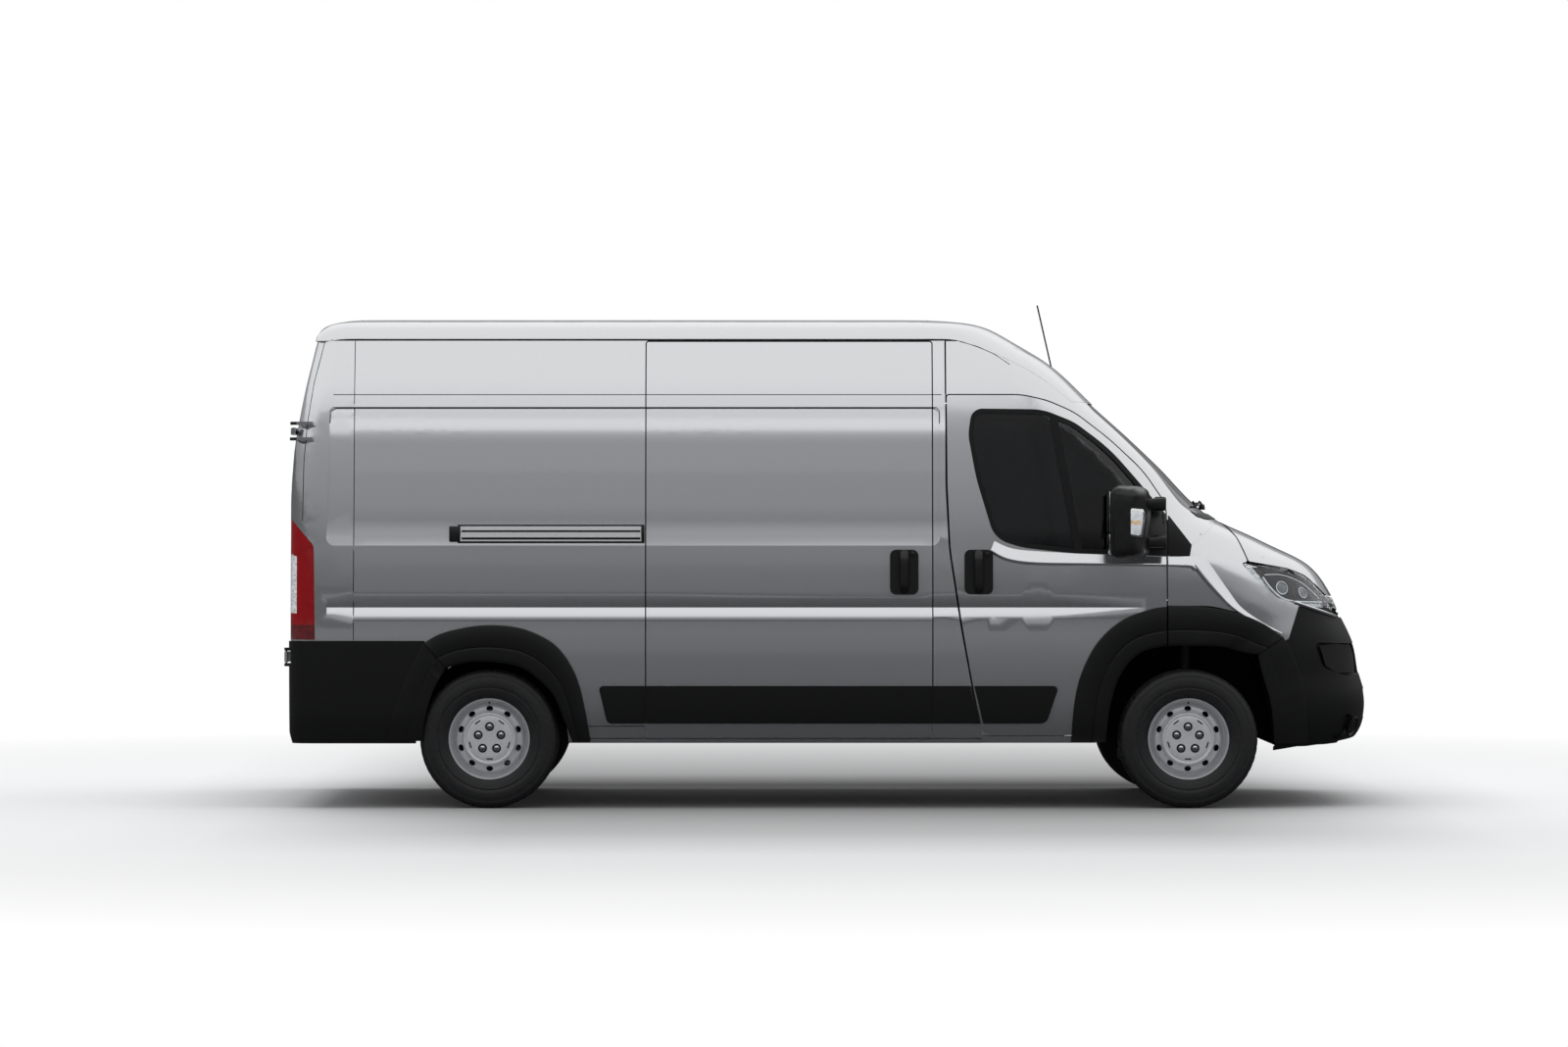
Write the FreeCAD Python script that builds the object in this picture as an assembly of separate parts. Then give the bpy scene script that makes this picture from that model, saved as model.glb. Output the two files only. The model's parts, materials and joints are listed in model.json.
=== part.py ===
import FreeCAD, Part
import math
import os
import time
from FreeCAD import Vector

# Panel van, medium length and high roof, in millimetres.
# X points forward, Y to the vehicle's left, Z up; the ground is Z = 0.

# Overall sizes
length = 5413.0
wheelbase = 3450.0
front_overhang = 948.0
nose_tip_x = length / 2
tail_x = -length / 2
front_axle_x = nose_tip_x - front_overhang
rear_axle_x = front_axle_x - wheelbase
half_body_width = 1025.0
roof_height = 2435.0

# Levels along the side, from the ground up
bumper_low_z = 256.0
sill_low_z = 322.0
door_low_z = 360.0
strip_low_z = 418.0
strip_top_z = 604.0
rear_bumper_top_z = 824.0
swage_low_z = 938.0
swage_mid_z = 990.0
swage_top_z = 1044.0
recess_low_z = 1295.0
recess_top_z = 1977.0
rail_low_z = 1317.0
rail_top_z = 1390.0
door_top_z = 2038.0
gutter_z = 2310.0
crease_z = 2368.0

# Places along the length
recess_rear_x = -2478.0
recess_front_x = 531.0
slider_rear_x = -916.0
slider_front_x = 493.0
door_front_x = 1651.0
screen_top_x = 1308.0
screen_top_z = 2019.0
screen_low_x = 1930.0
screen_low_z = 1438.0
bonnet_rear_x = 2000.0

# Thicknesses and gaps
skin = 22.0
wall = 60.0
door_wall = 70.0
glass_depth = 7.0
glass_wall = 6.0
shut_gap = 6.0
leaf_gap = 4.0
seam_x = -2357.0
rear_sill_z = 562.0
floor_z = 500.0
fit = 0.3
seat = 0.4
recess_depth = 9.0
swage_depth = 14.0
moulding_proud = 9.0
arch_proud = 14.0

# Fixings for what a stranger adds
tow_bolt_x = -2400.0
tow_bolt_length = 180.0
tow_bolt_width = 910.0
tow_hole_radius = 6.5
rack_x = -800.0
rack_length = 2400.0
rack_width = 1440.0
rack_hole_radius = 4.25

# Wheels and tyres
tyre_radius = 341.5
tyre_width = 215.0
rim_radius = 208.0
rim_width = 170.0
front_track = 1810.0
rear_track = 1790.0
hub_bore = 33.05
stub_radius = 33.0
kingpin_y = 800.0
steer_angle = 35.0


def smooth(points, t):
    """Monotone cubic through (t, value) points, held level past the ends."""
    if t <= points[0][0]:
        return points[0][1]
    if t >= points[-1][0]:
        return points[-1][1]
    slopes = []
    for (t0, v0), (t1, v1) in zip(points, points[1:]):
        slopes.append((v1 - v0) / (t1 - t0))
    tangents = [slopes[0]]
    for a, b in zip(slopes, slopes[1:]):
        tangents.append(0.0 if a * b <= 0 else 2 * a * b / (a + b))
    tangents.append(slopes[-1])
    for i in range(len(slopes)):
        t0, v0 = points[i]
        t1, v1 = points[i + 1]
        if t <= t1:
            h = t1 - t0
            u = (t - t0) / h
            return (v0 * (1 + 2 * u) * (1 - u) ** 2 + tangents[i] * h * u * (1 - u) ** 2
                    + v1 * u * u * (3 - 2 * u) + tangents[i + 1] * h * u * u * (u - 1))


# Half width of the side against height, up to the gutter
side_curve = [
    (bumper_low_z - 40, half_body_width - 75), (sill_low_z, half_body_width - 35),
    (500.0, half_body_width - 11), (swage_low_z, half_body_width), (recess_low_z, half_body_width - 17),
    (recess_top_z, half_body_width - 70), (gutter_z, half_body_width - 132),
    (gutter_z + 80, half_body_width - 150),
]
gutter_y = half_body_width - 132

# Roof height against distance from the middle
roof_curve = [
    (0.0, roof_height), (300.0, roof_height - 3), (560.0, roof_height - 14), (740.0, roof_height - 33),
    (840.0, roof_height - 62), (gutter_y - 18, roof_height - 92), (gutter_y, gutter_z),
]

# Middle of the nose, bonnet, screen and forehead: X against Z
nose_curve = [
    (bumper_low_z - 40, nose_tip_x - 380), (bumper_low_z, nose_tip_x - 250), (293.0, nose_tip_x - 140),
    (332.0, nose_tip_x - 57), (372.0, nose_tip_x - 30), (412.0, nose_tip_x - 13), (511.0, nose_tip_x),
    (571.0, nose_tip_x - 8), (650.0, nose_tip_x - 33), (769.0, nose_tip_x - 53), (848.0, nose_tip_x - 82),
    (928.0, nose_tip_x - 122), (1017.0, nose_tip_x - 161), (1090.0, nose_tip_x - 201),
    (1156.0, nose_tip_x - 247), (1222.0, nose_tip_x - 325), (1273.0, nose_tip_x - 433),
    (1340.0, nose_tip_x - 571), (screen_low_z, screen_low_x), (1700.0, 1655.0), (1850.0, 1495.0),
    (screen_top_z, screen_top_x), (2117.0, 1214.0), (2207.0, 1110.0), (2277.0, 1000.0),
    (2340.0, 893.0), (2400.0, 770.0), (roof_height + 1, 560.0),
]

# How far behind the middle of the nose its plan curve starts, and how square its corner is
nose_depth_curve = [
    (bumper_low_z, 1150.0), (500.0, 1206.0), (1000.0, 1050.0), (1300.0, 700.0),
    (screen_low_z, 540.0), (1800.0, 350.0), (screen_top_z, 330.0), (gutter_z, 420.0),
    (roof_height, 380.0),
]
nose_power_curve = [
    (500.0, 3.8), (1000.0, 3.8), (1300.0, 3.2), (screen_low_z, 3.0), (1800.0, 3.2), (gutter_z, 3.0),
]

# Middle of the tail: X against Z, and its corner
tail_curve = [
    (bumper_low_z, tail_x + 8), (1490.0, tail_x + 8), (1750.0, tail_x + 22), (1917.0, tail_x + 47),
    (2070.0, tail_x + 76), (2219.0, tail_x + 110), (gutter_z, tail_x + 132), (2375.0, tail_x + 165),
    (roof_height - 13, tail_x + 265), (roof_height + 1, tail_x + 400),
]
tail_corner = 110.0
tail_bulge = 22.0

# Share of the nose corner's depth that still counts as flank
corner_share = 0.8
corner_fade = 100.0


def section_y(z, closed=False):
    """Half width of the cross-section at height z, with or without the roof's curve."""
    if z <= gutter_z or not closed:
        return smooth(side_curve, z)
    low, high = 0.0, gutter_y
    for _ in range(40):
        mid = (low + high) / 2
        if smooth(roof_curve, mid) > z:
            low = mid
        else:
            high = mid
    return low


def half_width(x, z, closed=False):
    """Half width of the body's outside at a place along it and a height."""
    width = section_y(z, closed)
    front = smooth(nose_curve, z)
    start = front - smooth(nose_depth_curve, z)
    if x > start:
        t = (x - start) / (front - start)
        if t >= 1:
            return 0.0
        power = smooth(nose_power_curve, z)
        return width * (1 - t ** power) ** (1 / power)
    rear = smooth(tail_curve, z) + tail_bulge
    if x <= rear:
        return 0.0
    if x < rear + tail_corner:
        t = (rear + tail_corner - x) / tail_corner
        return width - tail_corner * (1 - math.sqrt(1 - t * t))
    return width


def flank_y(x, z):
    """Half width as seen from the side, levelled off past the nose corner."""
    front = smooth(nose_curve, z)
    depth = smooth(nose_depth_curve, z)
    limit = front - depth + corner_share * depth
    if x <= limit:
        return half_width(max(x, 0.0), z)
    slope = (half_width(limit, z) - half_width(limit - 20.0, z)) / 20.0
    return half_width(limit, z) + slope * corner_fade * (1 - math.exp((limit - x) / corner_fade))


def front_x(y, z):
    """X of the nose, bonnet or screen at a place across the body and a height."""
    width = section_y(z)
    front = smooth(nose_curve, z)
    depth = smooth(nose_depth_curve, z)
    power = smooth(nose_power_curve, z)
    t = min(1.0, abs(y) / width)
    return front - depth + depth * (1 - t ** power) ** (1 / power)


def roof_z(x, y):
    """Height of the roof and forehead over a place in plan."""
    low, high = screen_low_z, roof_height
    for _ in range(40):
        mid = (low + high) / 2
        if half_width(x, mid, True) > abs(y):
            low = mid
        else:
            high = mid
    return low


def steps(a, b, size):
    count = max(3, int(math.ceil(abs(b - a) / size)))
    return [a + (b - a) * i / count for i in range(count + 1)]


def normal_at(grid, i, j):
    """Direction square to a grid of points at one of them."""
    du = grid[min(i + 1, len(grid) - 1)][j] - grid[max(i - 1, 0)][j]
    dv = grid[i][min(j + 1, len(grid[0]) - 1)] - grid[i][max(j - 1, 0)]
    normal = du.cross(dv)
    normal.normalize()
    return normal


def shifted(grid, depth, toward):
    """Grid of points moved square to its surface, to the side of the given point."""
    mid_i = len(grid) // 2
    mid_j = len(grid[0]) // 2
    if normal_at(grid, mid_i, mid_j).dot(toward - grid[mid_i][mid_j]) < 0:
        depth = -depth
    rows = []
    for i in range(len(grid)):
        row = [grid[i][j] + normal_at(grid, i, j) * depth for j in range(len(grid[0]))]
        rows.append(row)
    return rows


def surface(grid):
    shape = Part.BSplineSurface()
    shape.interpolate(grid)
    return shape


def between(outer, inner):
    """Closed solid between two grids of points with the same layout."""
    faces = []
    edges = []
    for grid in (outer, inner):
        spline = surface(grid)
        u0, u1, v0, v1 = spline.bounds()
        faces.append(spline.toShape())
        edges.append([spline.uIso(u0), spline.uIso(u1), spline.vIso(v0), spline.vIso(v1)])
    for a, b in zip(edges[0], edges[1]):
        faces.append(Part.makeRuledSurface(a.toShape(), b.toShape()))
    shell = Part.makeShell(faces)
    shell.sewShape()
    solid = Part.Solid(shell)
    if solid.Volume < 0:
        solid.reverse()
    return solid


def side_band(x0, x1, z0, z1, depth0, depth1, step_x=90.0, step_z=70.0):
    """Right-hand side of the body from one depth below its skin to another."""
    grid = []
    for x in steps(x0, x1, step_x):
        grid.append([Vector(x, -flank_y(x, z), z) for z in steps(z0, z1, step_z)])
    middle = Vector(0, 1e6, 0)
    return between(shifted(grid, depth0, middle), shifted(grid, depth1, middle))


def front_row(z, reach, inward):
    """Plan curve of the front at one height, from the right side round to the left."""
    width = section_y(z)
    power = smooth(nose_power_curve, z)
    depth = smooth(nose_depth_curve, z)
    start = smooth(nose_curve, z) - depth
    half = [Vector(start + depth, 0, z)]
    for i in range(1, 90):
        angle = math.radians(i)
        x = start + depth * math.cos(angle) ** (2 / power)
        if x > max(reach, start) + 10:
            half.append(Vector(x, -width * math.sin(angle) ** (2 / power), z))
    if start > reach + 20:
        half.append(Vector(start, -width, z))
    half.append(Vector(reach, -half_width(reach, z), z))
    half = resampled(half, 26)
    row = []
    for i, point in enumerate(half):
        along = half[min(i + 1, 26)] - half[max(i - 1, 0)]
        if i == 0:
            along = Vector(0, -1, 0)
        normal = Vector(along.y, -along.x, 0)
        normal.normalize()
        row.append(point + normal * inward)
    row[-1].x = reach
    left = [Vector(point.x, -point.y, point.z) for point in row[1:]]
    return row[::-1] + left


def front_block(z0, z1, reach, inward=0.0, down=0.0, step_z=45.0):
    """Solid front end between two heights, set in from the skin and down from it."""
    grid = []
    for z in steps(z0, z1, step_z):
        grid.append([Vector(p.x, p.y, z - down) for p in front_row(z, reach, inward)])
    spline = surface(grid)
    u0, u1, v0, v1 = spline.bounds()
    right, left = spline.vIso(v0).toShape(), spline.vIso(v1).toShape()
    faces = [spline.toShape(), Part.makeRuledSurface(right, left)]
    for u, row in ((u0, grid[0]), (u1, grid[-1])):
        closing = Part.LineSegment(row[-1], row[0]).toShape()
        faces.append(Part.Face(Part.Wire([spline.uIso(u).toShape(), closing])))
    shell = Part.makeShell(faces)
    shell.sewShape()
    solid = Part.Solid(shell)
    if solid.Volume < 0:
        solid.reverse()
    return solid


def resampled(points, count):
    """Points at even steps along a polyline."""
    total = [0.0]
    for a, b in zip(points, points[1:]):
        total.append(total[-1] + (b - a).Length)
    result = []
    j = 0
    for i in range(count + 1):
        s = total[-1] * i / count
        while j < len(total) - 2 and total[j + 1] < s:
            j += 1
        span = max(total[j + 1] - total[j], 1e-9)
        result.append(points[j] + (points[j + 1] - points[j]) * ((s - total[j]) / span))
    return result


def roof_band(x0, x1, half, depth0, depth1):
    grid = []
    for x in steps(x0, x1, 90.0):
        ys = [half * math.sin(math.radians(90) * i / 14) for i in range(-14, 15)]
        grid.append([Vector(x, y, roof_z(x, y)) for y in ys])
    far = Vector(0, 0, -1e6)
    return between(shifted(grid, depth0, far), shifted(grid, depth1, far))


def tail_band(z0, z1, reach, depth0, depth1):
    """Tail of the body, round both corners, between two heights and two depths."""
    grid = []
    for z in steps(z0, z1, 70.0):
        width = section_y(z)
        flat = width - tail_corner
        back = smooth(tail_curve, z)
        half = [Vector(reach, width, z)]
        for i in range(0, 13):
            angle = math.radians(90) * i / 12
            cx = back + tail_bulge + tail_corner * (1 - math.sin(angle))
            half.append(Vector(cx, flat + tail_corner * math.cos(angle), z))
        for i in range(9, -1, -1):
            y = flat * i / 10
            half.append(Vector(back + tail_bulge * (y / flat) ** 2, y, z))
        other = [Vector(p.x, -p.y, z) for p in half[:-1]]
        grid.append(resampled(half + other[::-1], 64))
    middle = Vector(1e6, 0, 0)
    return between(shifted(grid, depth0, middle), shifted(grid, depth1, middle))


def outline(corners):
    """Closed wire of straight sides with rounded corners, from (u, v, radius)."""
    count = len(corners)
    starts = []
    ends = []
    mids = []
    for i in range(count):
        u, v, radius = corners[i]
        here = Vector(u, v, 0)
        before = Vector(corners[i - 1][0], corners[i - 1][1], 0) - here
        after = Vector(corners[(i + 1) % count][0], corners[(i + 1) % count][1], 0) - here
        if radius <= 0:
            starts.append(here)
            ends.append(here)
            mids.append(None)
            continue
        half = before.getAngle(after) / 2
        back = radius / math.tan(half)
        back = min(back, 0.49 * before.Length, 0.49 * after.Length)
        radius = back * math.tan(half)
        before.normalize()
        after.normalize()
        starts.append(here + before * back)
        ends.append(here + after * back)
        inward = before + after
        inward.normalize()
        mids.append(here + inward * (radius / math.sin(half) - radius))
    edges = []
    for i in range(count):
        if mids[i]:
            edges.append(Part.Arc(starts[i], mids[i], ends[i]).toShape())
        following = starts[(i + 1) % count]
        if (following - ends[i]).Length > 1e-6:
            edges.append(Part.LineSegment(ends[i], following).toShape())
    return Part.Wire(edges)


def prism_xz(corners, y0, y1):
    """Solid with an outline in side view, between two places across the body."""
    face = Part.Face(outline(corners))
    face.rotate(Vector(0, 0, 0), Vector(1, 0, 0), 90)
    face.translate(Vector(0, y0, 0))
    return face.extrude(Vector(0, y1 - y0, 0))


def prism_yz(corners, x0, x1):
    """Solid with an outline in front view, between two places along the body."""
    face = Part.Face(outline(corners))
    face.rotate(Vector(0, 0, 0), Vector(1, 0, 0), 90)
    face.rotate(Vector(0, 0, 0), Vector(0, 0, 1), 90)
    face.translate(Vector(x0, 0, 0))
    return face.extrude(Vector(x1 - x0, 0, 0))


def prism_xy(corners, z0, z1):
    """Solid with an outline in plan, between two heights."""
    face = Part.Face(outline(corners))
    face.translate(Vector(0, 0, z0))
    return face.extrude(Vector(0, 0, z1 - z0))


def box(x0, x1, y0, y1, z0, z1):
    low = Vector(min(x0, x1), min(y0, y1), min(z0, z1))
    return Part.makeBox(abs(x1 - x0), abs(y1 - y0), abs(z1 - z0), low)


def across(x, z, radius, y0, y1):
    """Cylinder lying across the body."""
    return Part.makeCylinder(radius, abs(y1 - y0), Vector(x, min(y0, y1), z), Vector(0, 1, 0))


def upright(x, y, radius, z0, z1):
    return Part.makeCylinder(radius, z1 - z0, Vector(x, y, z0), Vector(0, 0, 1))


def rod(a, b, radius):
    return Part.makeCylinder(radius, (b - a).Length, a, b - a)


def mirrored(shape):
    return shape.mirror(Vector(0, 0, 0), Vector(0, 1, 0))


def both(shape):
    return Part.makeCompound([shape, mirrored(shape)])


def fused(shapes):
    result = shapes[0].fuse(shapes[1:])
    return result.removeSplitter()


# Outlines in side view, as (x, z, corner radius)
def grown(corners, amount):
    """Outline moved outward by an amount, for shut gaps and clearances."""
    wire = outline(corners)
    moved = wire.makeOffset2D(amount)
    return moved


def prism_grown(corners, amount, y0, y1):
    face = Part.Face(grown(corners, amount))
    face.rotate(Vector(0, 0, 0), Vector(1, 0, 0), 90)
    face.translate(Vector(0, y0, 0))
    return face.extrude(Vector(0, y1 - y0, 0))


def front_prism_grown(corners, amount, x0, x1):
    """Solid with a moved outline in front view."""
    face = Part.Face(grown(corners, amount))
    face.rotate(Vector(0, 0, 0), Vector(1, 0, 0), 90)
    face.rotate(Vector(0, 0, 0), Vector(0, 0, 1), 90)
    face.translate(Vector(x0, 0, 0))
    return face.extrude(Vector(x1 - x0, 0, 0))


front_door_outline = [
    (567.0, door_top_z, 12), (570.0, 1593.0, 600), (584.0, 1278.0, 900), (643.0, 892.0, 900),
    (694.0, 607.0, 900), (745.0, door_low_z, 60), (1286.0, door_low_z, 6), (1308.0, 517.0, 300),
    (1355.0, 672.0, 300), (1424.0, 790.0, 200), (1540.0, 851.0, 150), (door_front_x - 3, 851.0, 6),
    (door_front_x - 3, 1500.0, 150), (1537.0, 1664.0, 600), (1369.0, 1820.0, 900),
    (1197.0, 1952.0, 400), (1060.0, 2010.0, 400), (937.0, door_top_z, 400),
]
window_outline = [
    (672.0, 1840.0, 200), (690.0, 1972.0, 60), (1040.0, 1968.0, 300), (1197.0, 1905.0, 300),
    (1371.0, 1774.0, 900), (1512.0, 1613.0, 600), (1640.0, 1462.0, 60), (1640.0, 1246.0, 12),
    (1190.0, 1256.0, 900), (933.0, 1285.0, 500), (800.0, 1330.0, 140), (711.0, 1626.0, 900),
]
slider_outline = [
    (slider_rear_x, gutter_z - 8, 10), (slider_rear_x, 340.0, 40), (slider_front_x, 340.0, 40),
    (slider_front_x, gutter_z - 8, 10),
]
recess_outline = [
    (recess_rear_x, recess_top_z, 40), (recess_rear_x - 16, recess_low_z, 40),
    (recess_front_x, recess_low_z, 40), (recess_front_x, recess_top_z, 40),
]


def arch_outline(points, axle_x):
    """Wheel arch outline in side view, closed well below the sill."""
    moved = [(axle_x + u, tyre_radius + v, r) for u, v, r in points]
    return moved


front_arch_inner = [
    (-430.0, -300.0, 0), (-425.0, 60.0, 600), (-352.0, 330.0, 200), (-235.0, 464.0, 160),
    (265.0, 464.0, 160), (372.0, 330.0, 200), (430.0, 48.0, 600), (430.0, -300.0, 0),
]
front_arch_outer = [
    (-592.0, -300.0, 0), (-588.0, 40.0, 900), (-548.0, 300.0, 400), (-440.0, 520.0, 300),
    (-230.0, 657.0, 300), (110.0, 657.0, 400), (300.0, 610.0, 500), (500.0, 480.0, 100), (500.0, -300.0, 0),
]
rear_arch_inner = [
    (-372.0, -300.0, 0), (-360.0, 20.0, 300), (-290.0, 250.0, 200), (-170.0, 388.0, 200),
    (120.0, 388.0, 220), (300.0, 270.0, 220), (385.0, 80.0, 400), (418.0, -300.0, 0),
]
rear_arch_outer = [
    (-520.0, -300.0, 0), (-500.0, 100.0, 300), (-330.0, 483.0, 300), (-60.0, 562.0, 350),
    (180.0, 545.0, 300), (367.0, 420.0, 260), (470.0, 200.0, 400), (505.0, -300.0, 0),
]

pieces = {}
begun = time.time()


def keep(name, shape):
    pieces[name] = shape
    print(name, shape.isValid(), len(shape.Solids), round(shape.Volume / 1e6, 2), round(time.time() - begun))


far_y = -1400.0


def swage_cutter(x0, x1):
    """Wedge along the flank that fades into the front wheel arch."""
    stations = steps(x0, x1, 150.0)
    lines = []
    for z, pull in ((swage_top_z, 0), (swage_mid_z, 1), (swage_low_z, 0)):
        points = []
        for x in stations:
            fade = smooth([(1050.0, 1.0), (1520.0, 0.0)], x)
            inward = swage_depth * fade * pull - 3 * (1 - pull)
            height = swage_mid_z + (z - swage_mid_z) * (0.35 + 0.65 * fade)
            points.append(Vector(x, -half_width(x, height) + inward, height))
        curve = Part.BSplineCurve()
        curve.interpolate(points)
        lines.append(curve.toShape())
    faces = [Part.makeRuledSurface(lines[i], lines[(i + 1) % 3]) for i in range(3)]
    for end in (0, 1):
        corners = [line.Vertexes[end].Point for line in lines]
        faces.append(Part.Face(Part.makePolygon(corners + corners[:1])))
    shell = Part.makeShell(faces)
    shell.sewShape()
    solid = Part.Solid(shell)
    if solid.Volume < 0:
        solid.reverse()
    return solid


swage = swage_cutter(-2490.0, 1560.0)
# Depth of the side's recessed field against height: two soft ledges that face up
recess_profile = [
    (1200.0, 4.0), (1300.0, 4.0), (rail_low_z, 5.0), (rail_top_z, recess_depth), (1470.0, recess_depth),
    (1840.0, recess_depth), (1873.0, recess_depth + 0.5), (1930.0, recess_depth + 5), (2060.0, recess_depth + 5),
]


def recess_cutter(x0, x1):
    levels = [1200.0, 1260.0, 1300.0, rail_low_z, 1340.0, 1365.0, rail_top_z, 1420.0, 1470.0, 1560.0, 1660.0,
              1760.0, 1820.0, 1850.0, 1873.0, 1890.0, 1910.0, 1930.0, 1955.0, 1990.0, 2060.0]
    outside = []
    inside = []
    for x in steps(x0, x1, 90.0):
        outside.append([Vector(x, -flank_y(x, z) - 3, z) for z in levels])
        inside.append([Vector(x, -flank_y(x, z) + smooth(recess_profile, z), z) for z in levels])
    return between(outside, inside).common(prism_xz(recess_outline, far_y, 0))


recess = recess_cutter(-2560.0, 620.0)

front_opening = prism_xz(arch_outline(front_arch_inner, front_axle_x), far_y, 0)
rear_opening = prism_xz(arch_outline(rear_arch_inner, rear_axle_x), far_y, 0)

def front_shell(z0, z1, reach, depth, thick, corners, drop=0.6):
    """Panel of the front end with an outline in side view, some way below the skin."""
    outer = front_block(z0, z1, reach, depth, 0.0)
    inner = front_block(z0 - 40, z1 + 40, reach - 40, depth + thick, thick * drop)
    return outer.common(prism_xz(corners, far_y, -far_y)).cut(inner)


# Side walls
cab_rear_x = 559.0
wall_outline = [
    (seam_x, gutter_z - 2, 0), (seam_x, rear_bumper_top_z + 2, 0), (-2010.0, rear_bumper_top_z + 2, 0),
    (-1892.0, 700.0, 0), (-1892.0, sill_low_z, 0), (736.0, sill_low_z, 0),
    (736.0, 400.0, 0), (686.0, 607.0, 900), (633.0, 892.0, 900), (575.0, 1278.0, 900),
    (cab_rear_x, 1593.0, 600), (cab_rear_x, gutter_z - 2, 0),
]
rear_leaf_outline = [
    (-leaf_gap, rear_sill_z, 4), (-leaf_gap, gutter_z - 20, 4), (-765.0, gutter_z - 20, 60), (-838.0, 1900.0, 900),
    (-868.0, 1440.0, 15), (-824.0, 1424.0, 10), (-824.0, rear_bumper_top_z + 2, 10),
    (-880.0, rear_bumper_top_z - 12, 10), (-880.0, rear_sill_z, 30),
]
wall_band = side_band(-2590.0, 860.0, sill_low_z - 60, gutter_z + 60, 0.0, wall)
right_wall = wall_band.common(prism_xz(wall_outline, far_y, 0))
right_wall = right_wall.cut([swage, recess, rear_opening])
left_wall = mirrored(right_wall)
slider_hole = prism_grown(slider_outline, shut_gap, far_y, 0)
keep("side_wall_right", right_wall.cut(slider_hole))
keep("side_wall_left", left_wall)

# Sliding door, shown shut
slider = side_band(-1000.0, 600.0, 280.0, gutter_z + 60, 0.0, wall).common(
    prism_xz(slider_outline, far_y, 0))
slider = slider.cut([swage, recess])
keep("sliding_door", slider)

# Front doors
door_skin = side_band(500.0, 1700.0, 320.0, 2080.0, 0.0, skin).common(
    prism_xz(front_door_outline, far_y, 0))
inner_prism = prism_grown(front_door_outline, -20.0, far_y, 0)
door_inner = side_band(500.0, 1700.0, 320.0, 2080.0, skin - 1, door_wall).common(inner_prism)
door = door_skin.fuse(door_inner)
door = door.cut([swage, recess, prism_xz(window_outline, far_y, 0)])
keep("front_door_right", door)
keep("front_door_left", mirrored(door))
glass = side_band(600.0, 1700.0, 1200.0, 2010.0, glass_depth, glass_depth + glass_wall).common(
    prism_grown(window_outline, -fit, far_y, 0))
keep("front_door_glass_right", glass)
keep("front_door_glass_left", mirrored(glass))

# Seal, divider and mirror plate round the door window, and the black corner on the body
divider_outline = [(1060.0, 2000.0, 0), (1100.0, 2000.0, 0), (1247.0, 1200.0, 0), (1207.0, 1200.0, 0)]
plate_x = 1562.0
seal_outer = prism_grown(window_outline, -fit, far_y, 0)
seal_inner = prism_grown(window_outline, -24.0, far_y, 0).cut(
    [prism_xz(divider_outline, far_y, 0), box(plate_x, 1750, far_y, 0, 1150, 1800)])
seal_band = side_band(600.0, 1700.0, 1200.0, 2010.0, -1.5, glass_depth - fit)
window_trim = seal_band.common(seal_outer.cut(seal_inner))
keep("window_trim_right", window_trim)
keep("window_trim_left", mirrored(window_trim))
corner_points = [(1672.0, 1433.0, 4), (1773.0, 1299.0, 4), (1763.0, 1243.0, 4), (1660.0, 1243.0, 4), (1660.0, 1450.0, 4)]
window_corner = side_band(1600.0, 1860.0, 1150.0, 1520.0, -2.5, -fit).common(prism_xz(corner_points, far_y, 0))

# Rear doors and the frame round them
rear_skin = tail_band(rear_sill_z - 50, gutter_z + 60, -2300.0, 0.0, 45.0)
rear_leaf = rear_skin.common(prism_yz(rear_leaf_outline, -2900.0, -2540.0))
keep("rear_door_right", rear_leaf)
keep("rear_door_left", mirrored(rear_leaf))
rear_hole = front_prism_grown(rear_leaf_outline, shut_gap, -3000.0, -2500.0)
rear_band = tail_band(rear_bumper_top_z - 80, gutter_z + 60, -2250.0, 0.0, wall)
rear_frame = rear_band.common(box(-2900, seam_x - fit, -1200, 1200, rear_bumper_top_z + 2, gutter_z - 2))
rear_frame = rear_frame.cut([rear_hole, mirrored(rear_hole), box(-3000, -2500, -20, 20, 500, gutter_z - 14)])
rear_frame = rear_frame.cut([swage, mirrored(swage), recess, mirrored(recess)])

# Roof
roof = roof_band(-2560.0, 1420.0, gutter_y - 4, 0.0, 40.0)
roof = roof.cut([box(-2700, cab_rear_x + 5, -1000, 1000, 2000, gutter_z - 2 + fit),
                 box(cab_rear_x + 5, 1500, -1000, 1000, 1500, screen_top_z - 12)])
rack_holes = []
for x in (rack_x - rack_length / 2, rack_x + rack_length / 2):
    for y in (-rack_width / 2, rack_width / 2):
        rack_holes.append(upright(x, y, rack_hole_radius, roof_z(x, y) - 25, roof_z(x, y) + 40))
keep("roof", roof.cut(rack_holes))

# Screen, pillars, cowl and firewall
screen_outline = [
    (-830.0, screen_low_z + 14, 60), (830.0, screen_low_z + 14, 60),
    (765.0, screen_top_z - 18, 60), (-765.0, screen_top_z - 18, 60),
]
screen_hole = prism_yz(screen_outline, 1000, 2300)
pane_outer = front_block(screen_low_z - 60, screen_top_z + 60, 900.0, glass_depth, 0.0)
pane_inner = front_block(screen_low_z - 90, screen_top_z + 90, 880.0, glass_depth + 6.0, 3.0)
small_screen = [(u * 0.999, v + (0.8 if v < 1700 else -0.8), r) for u, v, r in screen_outline]
keep("windscreen", pane_outer.common(prism_yz(small_screen, 1150, 2300)).cut(pane_inner))
frame_outline = [
    (565.0, gutter_z - 4, 0), (565.0, door_top_z - 30, 0), (1400.0, 1500.0, 0), (door_front_x + 3, 1246.0, 0),
    (1760.0, 1246.0, 0), (1773.0, 1297.0, 0), (1905.0, 1404.0, 0), (1945.0, 1422.0, 0), (2100.0, 1600.0, 0),
    (1500.0, 2310.0, 0),
]
frame = front_shell(1150.0, gutter_z + 60, 420.0, 0.0, wall, frame_outline)
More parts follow.
